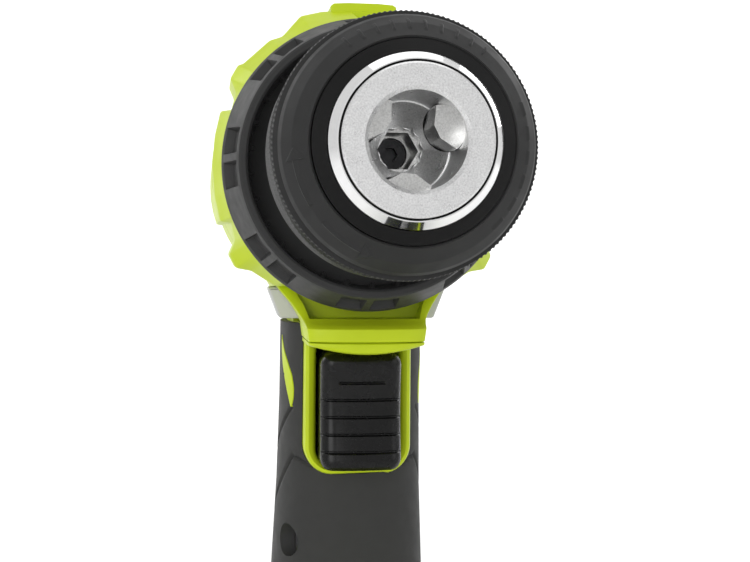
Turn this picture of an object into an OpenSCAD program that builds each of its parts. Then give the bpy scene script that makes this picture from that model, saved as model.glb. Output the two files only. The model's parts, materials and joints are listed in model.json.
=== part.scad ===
// Cordless drill: keyless chuck, torque ring, two-stage planetary gearbox, brushless
// motor, pistol grip and slide-on battery pack. The chuck points along -Y, +Z is up,
// and the pack stands on Z = 0 with the origin under the middle of the drill.

/* [Overall] */
// Height of the chuck axis above the surface the pack stands on
axis_height = 190; // [188:1:194]
// Distance from the nose of the chuck to the torque ring's back edge
chuck_reach = 62; // [62:0.5:64]
// Distance from the torque ring's back edge to the back of the drill
body_reach = 115; // [113:1:118]

/* [Chuck] */
// Radius of the grip band on the chuck sleeve
sleeve_r = 23; // [22.8:0.1:24]
// Radius of the bore in the chuck's nose
bore_r = 8.1; // [7.9:0.1:8.2]
// Radius of one jaw
jaw_r = 4.1; // [3.8:0.1:4.1]
// Angle between a jaw and the chuck axis
jaw_tilt = 18; // [17:1:18]
// Distance from the chuck axis to a jaw's gripping face at rest
jaw_gap = 4.9; // [4.6:0.1:5]

/* [Gearbox] */
// Size of a gear tooth (pitch diameter divided by number of teeth)
gear_module = 0.8; // [0.76:0.01:0.8]
// Teeth on each sun gear
sun_teeth = 12; // [12:6:12]
// Teeth on each planet gear
planet_teeth = 15; // [15:6:15]

/* [Torque ring] */
// Radius at the back edge of the torque ring
ring_r = 30.5; // [30:0.1:31]
// Number of raised finger pads round the torque ring
ring_pads = 8; // [6:1:9]

/* [Handle] */
// Half of the width of the rubber grip
grip_half_w = 16.4; // [16:0.1:17]
// Half of the depth of the rubber grip, front to back
grip_half_d = 18.4; // [18:0.1:19]
// Backward lean of the handle
grip_rake = 5; // [4:1:6]

/* [Battery] */
// Width of the battery pack
pack_w = 76; // [74:1:80]
// Length of the battery pack
pack_l = 108; // [108:1:112]
// Height of the battery pack below the foot
pack_h = 51; // [50:1:52]

/* [Hidden] */
$fn = 64;

// Places along the drill: distances forward of the torque ring's back edge
flange_y = chuck_reach - (chuck_reach + body_reach) / 2;
axis_z = axis_height;
gap = 0.15;
nose_t = chuck_reach;
jaw_face_t = nose_t - 8;
bore_floor_t = nose_t - 15.8;
spindle_end_t = nose_t - 22.6;
chuck_back_t = nose_t - 40;
jaw_angles = [26, 146, 266];
jaw_len = 22;
jaw_land = 2.4;
jaw_rho = jaw_gap + 0.9;
spindle_r = 6;

// Gearbox
ring_teeth = sun_teeth + 2 * planet_teeth;
sun_pitch_r = sun_teeth * gear_module / 2;
planet_pitch_r = planet_teeth * gear_module / 2;
ring_pitch_r = ring_teeth * gear_module / 2;
planet_orbit_r = sun_pitch_r + planet_pitch_r;
planet_angles = [90, 210, 330];
pressure_angle = 20;
tooth_play = 0.06;
planet_pin_r = 2;
case_r = 24.3;
case_bore_r = 21.2;
nose_tube_r = 16;
stage_out_t = -17.8;
stage_in_t = -31;
planet_w = 8;

// Motor
stator_r = 25;
stator_bore_r = 12.6;
shaft_r = 2.5;
motor_front_t = -54;
motor_len = 30;

// Housing
shell_r = 30.8;
shell_bore_r = 26.4;
split_t = -24;
handle_joint_z = axis_z - shell_r - 0.5;
cap_t = -101;
neck_floor = 36.9;
neck_lip = 32.2;
neck_reach = 3;
brow_floor = 39.6;
foot_top = axis_z - 118;
foot_bottom = pack_h + 0.3;
foot_h = foot_top - foot_bottom;
grip_front = 31;
grip_top = 34;
grip_y = flange_y + grip_front;
screw_places = [[13.1, -42], [-6.6, -84.1]];
grip_t = 1.9;

// ---------- helpers ----------

// Puts a shape drawn along +Z on the drill's axis, t in front of the torque ring's back edge
module on_axis(t = 0) {
    translate([0, flange_y - t, axis_z]) rotate([90, 0, 0]) children();
}

// A solid of revolution from [radius, t] points
module turned(points) {
    on_axis() rotate_extrude() polygon(points);
}

module tube(outer_r, inner_r, length) {
    difference() {
        cylinder(r = outer_r, h = length);
        translate([0, 0, -1]) cylinder(r = inner_r, h = length + 2);
    }
}

// A box with round upright edges, centred on X and Y
module rounded_box(w, l, h, r) {
    translate([-w / 2 + r, -l / 2, 0]) cube([w - 2 * r, l, h]);
    translate([-w / 2, -l / 2 + r, 0]) cube([w, l - 2 * r, h]);
    for (x = [-1, 1], y = [-1, 1])
        translate([x * (w / 2 - r), y * (l / 2 - r), 0]) cylinder(r = r, h = h);
}

// Keeps the side of a shape where X has the given sign, between two heights
module half(side, low = -50, high = 350) {
    intersection() {
        children();
        translate([side > 0 ? gap / 3 : -200 - gap / 3, -200, low]) cube([200, 400, high - low]);
    }
}

// One copy at each planet's place
module at_planet(i) {
    rotate([0, 0, planet_angles[i]]) translate([planet_orbit_r, 0, 0]) children();
}

// ---------- gears ----------

function involute(r, base_r) =
    let (a = acos(min(1, base_r / r))) tan(a) * 180 / PI - a;

// Half of a tooth's angle at radius r, for teeth whose flanks are involutes
function half_tooth(r, teeth, pitch_r, play) =
    let (base_r = pitch_r * cos(pressure_angle))
    90 / teeth - play / pitch_r * 180 / PI
        + involute(pitch_r, base_r) - involute(max(r, base_r), base_r);

function gear_points(teeth, root_r, tip_r, play) =
    let (pitch_r = teeth * gear_module / 2, steps = 4)
    [for (n = [0:teeth - 1], side = [-1, 1], k = [0:steps])
        let (
            step = side < 0 ? k : steps - k,
            r = root_r + (tip_r - root_r) * step / steps,
            a = 360 * n / teeth + side * half_tooth(r, teeth, pitch_r, play)
        ) [r * cos(a), r * sin(a)]];

module gear_2d(teeth, play = tooth_play) {
    pitch_r = teeth * gear_module / 2;
    polygon(gear_points(teeth, pitch_r - 1.1 * gear_module, pitch_r + 0.82 * gear_module, play));
}

// The space inside a ring gear
module ring_space_2d() {
    polygon(gear_points(ring_teeth, ring_pitch_r - 0.68 * gear_module,
        ring_pitch_r + 1.1 * gear_module, -tooth_play));
}

module planet(i, front_t) {
    on_axis(front_t - planet_w) at_planet(i) difference() {
        linear_extrude(planet_w) gear_2d(planet_teeth);
        translate([0, 0, -1]) cylinder(r = planet_pin_r + 0.05, h = planet_w + 2);
    }
}

module carrier_plate(plate_r, thick) {
    cylinder(r = plate_r, h = thick);
    for (i = [0:2])
        translate([0, 0, -planet_w - 0.6]) at_planet(i) cylinder(r = planet_pin_r, h = planet_w + 1);
}

module ring_gear(outer_r, length) {
    difference() {
        cylinder(r = outer_r, h = length);
        translate([0, 0, -1]) rotate([0, 0, planet_angles[0]]) linear_extrude(length + 2) ring_space_2d();
    }
}

// ---------- chuck ----------

// The inclined line that a jaw slides along, at one of the three jaw angles
module jaw_line(angle) {
    rotate([0, 0, angle]) translate([jaw_rho, 0, jaw_face_t]) rotate([0, -jaw_tilt, 0]) children();
}

module chuck_body() {
    color("gainsboro") difference() {
        turned([
            [0, chuck_back_t], [17.2, chuck_back_t], [17.2, nose_t - 30.5], [15, nose_t - 30],
            [12.2, nose_t - 19.5], [14.2, nose_t - 18.5], [14.2, nose_t - 3.4],
            [12.55, nose_t - 3.4], [12.55, nose_t - 0.3], [12.25, nose_t], [0, nose_t]
        ]);
        on_axis(bore_floor_t) cylinder(r = bore_r, h = 30);
        on_axis(bore_floor_t - 3.8) cylinder(r1 = 3.9, r2 = bore_r - 0.2, h = 3.81);
        on_axis(nose_t - 0.65) cylinder(r1 = bore_r, r2 = bore_r + 0.75, h = 0.76);
        on_axis(spindle_end_t) for (a = [0, 30]) rotate([0, 0, a]) cylinder(r = 4.1, h = 5, $fn = 6);
        on_axis(chuck_back_t - 1) cylinder(r = spindle_r + 0.05, h = spindle_end_t - chuck_back_t + 1);
        on_axis() for (a = jaw_angles)
            jaw_line(a) translate([0, 0, -36]) cylinder(r = jaw_r + gap, h = 48);
    }
}

module nose_ring() {
    color("white") turned([
        [12.75, nose_t - 3.25], [14.4, nose_t - 3.25], [14.4, nose_t - 2.4],
        [13.15, nose_t - 0.45], [12.95, nose_t - 0.45], [12.95, nose_t - 2.8], [12.75, nose_t - 2.8]
    ]);
}

module nose_bezel() {
    color("black") turned([
        [14.55, nose_t - 6.5], [16.9, nose_t - 6.5], [16.9, nose_t - 4.3], [14.55, nose_t - 2.7]
    ]);
}

module chuck_sleeve() {
    color("dimgray") turned([
        [17.05, nose_t - 6.65], [17.05, nose_t - 4.4], [19.9, nose_t - 7], [21.5, nose_t - 9.4],
        [22, nose_t - 11.1], [21.4, nose_t - 11.4], [21.4, nose_t - 11.9],
        [sleeve_r - 0.3, nose_t - 12.2], [sleeve_r, nose_t - 12.6], [sleeve_r, nose_t - 30.4],
        [sleeve_r - 0.4, nose_t - 30.8], [21.3, nose_t - 31.2], [21.3, nose_t - 38.5],
        [20.9, nose_t - 39], [19.95, nose_t - 39], [19.95, nose_t - 18.9],
        [14.5, nose_t - 18.1], [14.5, nose_t - 6.65]
    ]);
}

// The bore clears the jaws' threads, because it follows their slope
module jaw_nut() {
    nut_front = nose_t - 20.5;
    nut_len = 7.5;
    bore_front = jaw_rho + (jaw_face_t - nut_front) * tan(jaw_tilt) + jaw_r / cos(jaw_tilt) + 0.25;
    color("gray") turned([
        [bore_front, nut_front], [19.8, nut_front], [19.8, nut_front - nut_len],
        [bore_front + nut_len * tan(jaw_tilt), nut_front - nut_len]
    ]);
}

module jaw(i) {
    side_x = 14;
    side_y = side_x * tan(58) + jaw_land / 2;
    color("silver") on_axis() intersection() {
        jaw_line(jaw_angles[i]) translate([0, 0, -jaw_len]) cylinder(r = jaw_r, h = jaw_len + 8);
        rotate([0, 0, jaw_angles[i]]) linear_extrude(jaw_face_t) polygon([
            [jaw_gap, -jaw_land / 2], [jaw_gap + side_x, -side_y],
            [jaw_gap + side_x, side_y], [jaw_gap, jaw_land / 2]
        ]);
    }
}

module chuck_rear_collar() {
    back = chuck_back_t - 8.5;
    color("black") turned([
        [6.3, back], [15.5, back], [18.6, back + 3], [18.6, chuck_back_t - gap], [6.3, chuck_back_t - gap]
    ]);
}

module chuck_screw() {
    color("gray") {
        on_axis(24) cylinder(r = 2.4, h = 4);
        on_axis(28) difference() {
            cylinder(r = 2.9, h = 2.6);
            translate([0, 0, 1]) cylinder(r = 1.4, h = 3, $fn = 6);
        }
    }
}

// ---------- spindle and gearbox ----------

module spindle() {
    color("silver") on_axis() difference() {
        union() {
            translate([0, 0, -13]) cylinder(r = spindle_r, h = spindle_end_t + 13 - gap);
            translate([0, 0, 10.8]) cylinder(r = 9, h = 2.2);
        }
        translate([0, 0, 31]) cylinder(r = 3.75, h = 20, $fn = 6);
        translate([0, 0, 27.9]) cylinder(r = 3.05, h = 10);
        translate([0, 0, 23.9]) cylinder(r = 2.5, h = 10);
    }
}

module output_carrier() {
    color("gray") on_axis(stage_out_t + 0.4) {
        carrier_plate(15.4, 3.6);
        cylinder(r = 8, h = 4.2);
    }
}

module spindle_bearing() {
    color("silver") on_axis(3.4) {
        tube(10.9, 9.3, 7);
        tube(7.6, spindle_r + 0.03, 7);
        for (a = [0:45:315])
            rotate([0, 0, a]) translate([8.45, 0, 3.5]) sphere(r = 0.8);
    }
}

module spindle_bushing() {
    color("peru") on_axis(-9) tube(10.9, spindle_r + 0.03, 8);
}

module torque_ring() {
    pad_pitch = 360 / ring_pads;
    color("dimgray") difference() {
        union() {
            turned([
                [24.2, 0.35], [ring_r - 0.3, 0.35], [ring_r, 0.8], [ring_r - 0.25, 1.9],
                [27.6, 11.6], [27.2, 12.4], [25.9, 12.8], [25.4, 12.4], [24.9, 4], [16.7, 4],
                [16.7, 2], [24.2, 2]
            ]);
            turned([[22.9, -8], [24.4, -8], [24.4, 2.2], [22.9, 2.2]]);
        }
        // Two finger pockets between each pair of pads
        on_axis() for (n = [0:ring_pads - 1], side = [-1, 1])
            rotate([0, 0, pad_pitch * (n + 0.5) + side * 7.6 - 0.6]) translate([29.1, 0, 2])
                rotate([0, -16, 0]) translate([0, -2.45, 0]) cube([6, 4.9, 8.2]);
        // Keyways for the clutch nut inside the skirt
        on_axis(-9) for (a = [30:60:330])
            rotate([0, 0, a]) translate([22, -1.6, 0]) cube([1.8, 3.2, 10.9]);
    }
}

module clutch_nut() {
    key_w = 2.8;
    thick = 2.6;
    color("gray") on_axis(-1.2) difference() {
        union() {
            cylinder(r = 22.7, h = thick);
            for (a = [30:60:330])
                rotate([0, 0, a]) translate([20.4, -key_w / 2, 0.3]) cube([3.2, key_w, thick - 0.6]);
        }
        translate([0, 0, -1]) cylinder(r = nose_tube_r + gap, h = thick + 2);
    }
}

// Points of a closed tube swept along a list of points, with flat ends
function ring_points(path, wire_r, sides) = [
    for (n = [0:len(path) - 1])
        let (
            ahead = path[min(n + 1, len(path) - 1)] - path[max(n - 1, 0)],
            dir = ahead / norm(ahead),
            out = cross(dir, [0, 0, 1]),
            u = out / norm(out),
            v = cross(dir, u)
        )
        for (s = [0:sides - 1])
            path[n] + wire_r * (u * cos(360 * s / sides) + v * sin(360 * s / sides))
];

module swept_tube(path, wire_r, sides) {
    rings = len(path);
    ends = [[for (s = [sides - 1:-1:0]) s], [for (s = [0:sides - 1]) (rings - 1) * sides + s]];
    walls = [
        for (n = [0:rings - 2], s = [0:sides - 1])
            let (next = (s + 1) % sides, a = n * sides)
            each [[a + s, a + next, a + sides + next], [a + s, a + sides + next, a + sides + s]]
    ];
    polyhedron(points = ring_points(path, wire_r, sides), faces = concat(ends, walls));
}

module coil_spring(coil_r, wire_r, length, turns, steps_per_turn = 16) {
    steps = turns * steps_per_turn;
    swept_tube([
        for (n = [0:steps])
            [coil_r * cos(360 * n / steps_per_turn), coil_r * sin(360 * n / steps_per_turn),
                wire_r + (length - 2 * wire_r) * n / steps]
    ], wire_r, 6);
}

module clutch_spring() {
    color("silver") on_axis(-9.3) coil_spring(19.2, 1.2, 7.9, 2.5, 20);
}

module clutch_balls() {
    color("white") on_axis(-11.8) for (a = [0:60:300])
        rotate([0, 0, a]) translate([19.2, 0, 0]) sphere(r = 1.8);
}

module gear_case() {
    color("dimgray") difference() {
        turned([
            [11, 10.6], [nose_tube_r - 0.4, 10.6], [nose_tube_r, 10.2], [nose_tube_r, -10],
            [case_r, -10], [case_r, -47], [case_bore_r, -47], [case_bore_r, -13.4], [11, -13.4]
        ]);
        on_axis(-14) for (a = [0:60:300])
            rotate([0, 0, a]) translate([19.2, 0, 0]) cylinder(r = 1.95, h = 5);
        // Slot for the speed selector's tongue
        translate([-3.4, flange_y + 28, axis_z + 15]) cube([6.8, 16, 14]);
    }
}

module output_ring_gear() {
    color("gray") on_axis(-27) ring_gear(case_bore_r - gap, 13.2);
}

module output_planet(i) { color("silver") planet(i, stage_out_t); }

module input_planet(i) { color("silver") planet(i, stage_in_t); }

module input_carrier() {
    color("gray") {
        on_axis(stage_in_t + 0.4) carrier_plate(15.4, 3);
        on_axis(stage_in_t + 3) rotate([0, 0, planet_angles[0]]) linear_extrude(10.2) gear_2d(sun_teeth);
    }
}

module shift_ring_gear() {
    color("gray") on_axis(-42.2) difference() {
        ring_gear(case_bore_r - 0.25, 7.6);
        translate([0, 0, 2.6]) tube(30, 19.6, 2.4);
    }
}

module speed_selector() {
    color("black") {
        translate([-2.6, flange_y + 37.6, axis_z + 19.8]) cube([5.2, 1.6, 12.4]);
        translate([0, flange_y + 39, axis_z + 31.4]) rounded_box(12, 15, 1.6, 2);
        translate([0, flange_y + 39, axis_z + 33]) for (y = [-1.5:1:1.5])
            translate([-5, y * 3 - 0.7, -0.2]) cube([10, 1.4, 1.7]);
    }
}

// ---------- motor ----------

module motor_pinion() {
    color("gold") on_axis(-41.6) difference() {
        rotate([0, 0, planet_angles[0]]) linear_extrude(10.4) gear_2d(sun_teeth);
        translate([0, 0, -1]) cylinder(r = shaft_r + 0.02, h = 20);
    }
}

module rotor() {
    color("silver") on_axis(-99) cylinder(r = shaft_r, h = 67.6);
    color("darkslategray") on_axis(motor_front_t - motor_len + 1) difference() {
        cylinder(r = stator_bore_r - 0.6, h = motor_len - 2);
        for (a = [45:90:315])
            rotate([0, 0, a]) translate([8.4, 0, -1]) cylinder(r = 1.3, h = motor_len);
    }
}

module motor_fan() {
    color("black") on_axis(-92) {
        tube(6, shaft_r + 0.02, 6);
        tube(21, 5.5, 1.4);
        for (a = [0:30:330])
            rotate([0, 0, a]) translate([5.8, -0.6, 1]) cube([14.6, 1.2, 5]);
    }
}

module stator() {
    color("peru") on_axis(motor_front_t - motor_len) difference() {
        cylinder(r = stator_r, h = motor_len);
        translate([0, 0, -1]) cylinder(r = stator_bore_r, h = motor_len + 2);
        for (a = [0:60:300])
            rotate([0, 0, a]) translate([18, 0, -1]) cylinder(r = 3.6, h = motor_len + 2);
    }
}

module motor_bearings() {
    color("silver") for (t = [-52.8, -98.8]) on_axis(t) tube(6, shaft_r + 0.03, 4);
}

module motor_bracket() {
    color("dimgray") {
        on_axis(-53) tube(shell_bore_r - 0.4, 6.05, 4.6);
        on_axis(-99) tube(10, 6.05, 4.4);
        for (a = [30:120:270]) on_axis(-99) rotate([0, 0, a]) translate([9.6, -2, 0]) cube([16.2, 4, 3]);
    }
}

// ---------- housings ----------

// Half of the front housing's outline, looking at the chuck: bosses, side and neck
outline_half = [
    [0, 34.2], [9, 33.6], [13.6, 32.5], [17.5, 28], [20.2, 27.1], [25.9, 21.9], [26.9, 21.7],
    [28.6, 18.7], [27.4, 15.8], [28.3, 12], [30.6, 11.8], [31.8, 6.5], [32.3, 0], [31.8, -6.5],
    [30.6, -11.8], [28.3, -12], [27.4, -15.8], [28.7, -18.8], [27.2, -21.7], [23.8, -22.3],
    [17.4, -26.8], [15.1, -29.4], [13.3, -33.2], [12.8, -neck_floor]
];

module front_outline() {
    last = len(outline_half) - 1;
    polygon(concat(outline_half, [for (n = [last:-1:1]) [-outline_half[n][0], outline_half[n][1]]]));
}

boss_places = [[23.4, 18.4], [23.4, -18.6]];

module front_housing() {
    color("yellowgreen") difference() {
        union() {
            on_axis(split_t + gap) linear_extrude(-split_t - 6) intersection() {
                front_outline();
                translate([-40, -25.5]) square([80, 70]);
            }
            on_axis(-7) cylinder(r = 30, h = 6.6);
            on_axis(-16.5) linear_extrude(9) intersection() {
                front_outline();
                translate([-40, -neck_floor]) square([80, 20]);
            }
            // Lip under the torque ring
            on_axis(-16.5) linear_extrude(16.5 + neck_reach) intersection() {
                front_outline();
                translate([-40, -neck_floor]) square([80, neck_floor - neck_lip]);
            }
        }
        on_axis(-30) cylinder(r = case_r + 0.3, h = 40);
        on_axis(-30) cylinder(r = 26, h = 21.5);
        for (p = boss_places, side = [-1, 1])
            on_axis(-30) translate([side * p[0], p[1], 0]) cylinder(r = 1.6, h = 24);
        for (p = boss_places, side = [-1, 1])
            on_axis(-9.5) translate([side * p[0], p[1], 0]) cylinder(r = 3, h = 10);
        // Pointer above the torque ring
        on_axis(-4) translate([0, 31, 0]) linear_extrude(5)
            polygon([[-2.4, 2], [2.4, 2], [1.2, -0.2], [-1.2, -0.2]]);
    }
}

module front_screws() {
    color("silver") for (p = boss_places, side = [-1, 1]) on_axis() translate([side * p[0], p[1], -9.3]) {
        difference() {
            cylinder(r = 2.8, h = 2);
            translate([0, 0, 1]) cylinder(r = 1.3, h = 2, $fn = 6);
        }
        translate([0, 0, -17]) cylinder(r = 1.5, h = 17.5);
    }
}

// The handle's section, swept along its raked length; inset shrinks it on every side
module handle_solid(inset, top, bottom) {
    r = grip_half_w - inset;
    reach = grip_half_d - grip_half_w;
    translate([0, grip_y, axis_z - grip_top]) rotate([grip_rake, 0, 0]) translate([0, 0, -bottom])
        linear_extrude(bottom - top) {
            for (y = [-reach, reach]) translate([0, y]) circle(r = r);
            translate([-r, -reach]) square([2 * r, 2 * reach]);
        }
}

module barrel_solid() {
    on_axis(cap_t) cylinder(r = shell_r, h = split_t - cap_t);
    // Side pads
    on_axis(cap_t) for (a = [-20, 160])
        rotate([0, 0, a]) rotate_extrude(angle = 40)
            translate([28.5, 4]) square([3.8, split_t - cap_t - 4.4]);
    // Raised block on top that holds the speed selector
    translate([-7.2, flange_y - split_t, axis_z + 20]) cube([14.4, 45, 15.7]);
}

module foot_solid() {
    translate([0, flange_y + 34, foot_bottom]) {
        rounded_box(62, 88, foot_h * 0.62, 12);
        translate([0, 0, foot_h * 0.6]) rounded_box(50, 72, foot_h * 0.4, 14);
    }
}

module shell_solid() {
    difference() {
        union() {
            barrel_solid();
            handle_solid(grip_t + 0.1, -6, 87);
            foot_solid();
        }
        on_axis(cap_t - 1) cylinder(r = shell_bore_r, h = split_t - cap_t + 2);
        intersection() {
            handle_solid(grip_t + 2.3, -6, 88);
            translate([-50, -50, foot_bottom + 14]) cube([100, 200, axis_z - 27 - foot_bottom - 14]);
        }
        // Opening for the trigger and its frame
        translate([-12.1, flange_y - 5, axis_z - 68.4]) cube([24.2, 28, 45]);
        translate([-9.6, flange_y + 20, axis_z - 66.8]) cube([19.2, 10, 27]);
        // Slots for the direction selector and the speed selector
        translate([-30, flange_y + 16.6, axis_z - 33.9]) cube([60, 8.8, 8.4]);
        translate([-6.4, flange_y + 25, axis_z + 31.2]) cube([12.8, 22.4, 10]);
        translate([-3, flange_y + 31.2, axis_z + 20]) cube([6, 9.4, 14]);
        // Room for the pack's rails and terminals under the foot
        translate([-24, flange_y - 12, foot_bottom + 3.2]) cube([48, 78, 8.8]);
        translate([-21.3, flange_y - 12, foot_bottom - 1]) cube([42.6, 78, 6]);
        // Hollow of the foot, and the pocket for the work light
        translate([0, flange_y + 34, foot_bottom + 13.6]) rounded_box(44, 60, foot_h - 16, 10);
        translate([-8.2, flange_y - 12, foot_bottom + 12.6]) cube([16.4, 12.5, 5]);
        // Cooling vents
        for (n = [0:5], side = [-1, 1])
            translate([side * 28 - 6, flange_y + 83 + n * 3, axis_z - 8]) cube([12, 1.5, 16]);
        // Screw holes across the halves, and the belt clip's holes in the foot
        for (p = screw_places) translate([-30, grip_y + p[0], axis_z + p[1]]) rotate([0, 90, 0]) {
            cylinder(r = 1.6, h = 60);
            cylinder(r = 3.1, h = 18.7);
        }
        for (p = boss_places, side = [-1, 1])
            on_axis(-27) translate([side * p[0], p[1], 0]) cylinder(r = 1.55, h = 4);
        for (side = [-1, 1]) translate([side * 24, flange_y + 40, foot_bottom + 6.4])
            rotate([0, side * 90, 0]) cylinder(r = 3.1, h = 10);
    }
}

module housing(side) {
    color("yellowgreen") half(side, low = handle_joint_z) shell_solid();
}

module handle(side) {
    color("yellowgreen") half(side, high = handle_joint_z - gap / 3) shell_solid();
}

module rear_cap() {
    color("dimgray") difference() {
        turned([
            [0, -body_reach], [20, -body_reach], [26, -body_reach + 2.5], [shell_r - 1, cap_t - 5],
            [shell_r, cap_t - gap], [shell_bore_r - 0.3, cap_t - gap], [shell_bore_r - 0.3, cap_t + 1.4],
            [24.4, cap_t + 1.4], [24.4, cap_t - 6], [18, -body_reach + 2.6], [0, -body_reach + 2.6]
        ]);
        for (n = [-3:3])
            on_axis(-body_reach - 1) translate([-9, n * 4 - 0.8, 0]) cube([18, 1.6, 5]);
    }
}

module grip(side) {
    color("dimgray") half(side) difference() {
        handle_solid(0, 2.4, 79);
        handle_solid(grip_t, -6, 90);
        on_axis(cap_t) cylinder(r = shell_r + 0.2, h = 100);
        translate([-12.4, flange_y - 5, axis_z - 68.7]) cube([24.8, 28, 45]);
        translate([-30, flange_y, axis_z - 34.1]) cube([60, 40, 20]);
        translate([0, flange_y + 34, foot_bottom]) rounded_box(62, 88, foot_h + 0.2, 12);
        // Screw recesses, on the left side only
        for (p = screw_places)
            translate([-30, grip_y + p[0], axis_z + p[1]]) rotate([0, 90, 0]) cylinder(r = 3.8, h = 30);
    }
}

module housing_screws() {
    color("silver") for (p = screw_places)
        translate([0, grip_y + p[0], axis_z + p[1]]) rotate([0, -90, 0]) {
            translate([0, 0, -8]) cylinder(r = 1.5, h = 20);
            translate([0, 0, 11.4]) cylinder(r = 2.9, h = 1.6);
        }
}

// ---------- switch, trigger and selectors ----------

module trigger_frame() {
    color("yellowgreen") difference() {
        union() {
            // Brow over the trigger
            translate([-12.5, flange_y - neck_reach + 0.2, axis_z - brow_floor])
                cube([25, neck_reach + 16, brow_floor - neck_floor - gap]);
            translate([0, flange_y + 22.4, axis_z - 53.4]) rotate([90, 0, 0]) rounded_box(23.8, 29.6, 8, 5);
        }
        translate([0, flange_y + 23, axis_z - 52.9]) rotate([90, 0, 0]) rounded_box(18.6, 26.8, 18, 3);
    }
}

module trigger() {
    color("black") difference() {
        union() {
            intersection() {
                translate([0, flange_y + 14, axis_z - 65.6]) rounded_box(17.8, 16.4, 25.6, 3.4);
                translate([0, flange_y + 23, axis_z - 52.8]) rotate([90, 0, 0])
                    rounded_box(17.8, 25.6, 20, 3);
            }
            translate([0, flange_y + 22, axis_z - 53]) rotate([-90, 0, 0]) cylinder(r = 2.4, h = 9.5);
        }
        for (n = [0:4])
            translate([-6, flange_y + 4, axis_z - 61.5 + n * 3.9]) cube([12, 2.4, 0.7]);
        // Seat for the spring
        translate([0, flange_y + 20.4, axis_z - 53]) rotate([-90, 0, 0]) tube(4.9, 2.4, 3);
    }
}

module trigger_spring() {
    color("silver") translate([0, flange_y + 20.7, axis_z - 53]) rotate([-90, 0, 0])
        coil_spring(3.7, 0.45, 8, 4, 12);
}

module switch_module() {
    color("darkslategray") difference() {
        translate([-8, flange_y + 28.9, axis_z - 66]) cube([16, 12.5, 28.6]);
        translate([0, flange_y + 28, axis_z - 53]) rotate([-90, 0, 0]) cylinder(r = 2.7, h = 12);
    }
}

module direction_selector() {
    half_w = 20;
    color("lightgray") translate([0, flange_y + 17, axis_z - 33.5]) rotate([-90, 0, 0])
        linear_extrude(8) polygon([
            [-half_w + 2.2, 0], [half_w - 2.2, 0], [half_w - 1, -1.6], [half_w, -7.4],
            [half_w - 1.4, -7.6], [1 - half_w, -7.6], [-half_w, -7.2], [1 - half_w, -1.6]
        ]);
}

module control_board() {
    color("green") translate([-9.5, flange_y + 30, axis_z - 102]) cube([19, 1.6, 30]);
    color("black") translate([-7, flange_y + 31.5, axis_z - 96]) cube([14, 6, 18]);
}

module work_light() {
    color("white") translate([0, flange_y - 9.8, foot_bottom + 12.8]) intersection() {
        translate([0, 9.8, 0]) rounded_box(16, 19, 4.6, 3);
        translate([-10, 0.3, 0]) cube([20, 9, 5]);
    }
}

module terminal_block() {
    color("black") translate([-17, flange_y + 52, foot_bottom + 7.9]) cube([34, 13, 4]);
    color("gold") for (x = [-12:8:12])
        translate([x - 0.5, flange_y + 46, foot_bottom + 5.1]) cube([1, 8, 4]);
}

module belt_clip_inserts() {
    color("gold") for (side = [-1, 1]) translate([side * 24.1, flange_y + 40, foot_bottom + 6.4])
        rotate([0, side * 90, 0]) tube(3, 1.65, 6.8);
}

// ---------- battery pack ----------

pack_mid_y = flange_y + 34;
case_wall = 2.4;
split_z = 27;

module at_pack_corners() {
    for (x = [-1, 1], y = [-1, 1])
        translate([x * 31, pack_mid_y + y * (pack_l / 2 - 5), 0]) children();
}

module pack_upper_case() {
    color("dimgray") difference() {
        union() {
            translate([0, pack_mid_y, split_z + gap])
                rounded_box(pack_w, pack_l, pack_h - split_z - gap, 9);
            translate([-20.9, pack_mid_y - 44, pack_h - 1]) cube([41.8, 66, 5]);
            translate([-23.6, pack_mid_y - 44, pack_h + 3.8]) cube([47.2, 66, 4]);
        }
        translate([0, pack_mid_y, 10])
            rounded_box(pack_w - 2 * case_wall, pack_l - 2 * case_wall, pack_h - 10 - case_wall, 7);
        translate([-18, pack_mid_y - 30, pack_h - 5]) cube([36, 48, 10]);
        // Window of the release button, and the slots that the terminals slide into
        translate([-9.2, pack_mid_y - pack_l / 2 - 1, pack_h - 16.4]) cube([18.4, 12, 17]);
        translate([-9.2, pack_mid_y - pack_l / 2 - 1, pack_h - 4]) cube([18.4, 11.6, 12]);
        for (x = [-12:8:12]) translate([x - 1.2, pack_mid_y + 8, pack_h + 5]) cube([2.4, 20, 4]);
    }
    translate([-4, pack_mid_y - pack_l / 2 + 1, pack_h - 18]) cube([8, 6.6, 1.6]);
    at_pack_corners() translate([0, 0, split_z + gap]) tube(2.4, 1.15, pack_h - split_z - 1);
}

module pack_lower_case() {
    color("dimgray") difference() {
        union() {
            translate([0, pack_mid_y, 1.5]) rounded_box(pack_w, pack_l, split_z - 1.5, 9);
            translate([0, pack_mid_y, 0]) rounded_box(pack_w - 8, pack_l - 8, 2, 6);
        }
        translate([0, pack_mid_y, case_wall])
            rounded_box(pack_w - 2 * case_wall, pack_l - 2 * case_wall, split_z, 7);
        at_pack_corners() translate([0, 0, -1]) cylinder(r = 2.1, h = 10);
    }
    at_pack_corners() difference() {
        translate([0, 0, 1.8]) cylinder(r = 2.8, h = split_z - 1.8);
        cylinder(r = 2.1, h = 3.4);
        cylinder(r = 1.25, h = split_z + 1);
    }
}

module pack_cells() {
    color("steelblue") for (n = [-2:2], row = [0, 1])
        translate([-32.5, pack_mid_y + n * 18.5, 12 + row * 18.6])
            rotate([0, 90, 0]) cylinder(r = 9.1, h = 65);
}

module pack_board() {
    color("green") translate([-17, pack_mid_y - 28, 41.2]) cube([34, 44, 1.6]);
    color("gold") for (x = [-12:8:12]) translate([x - 0.9, pack_mid_y + 4, 42.7]) cube([1.8, 6, 5]);
}

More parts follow.
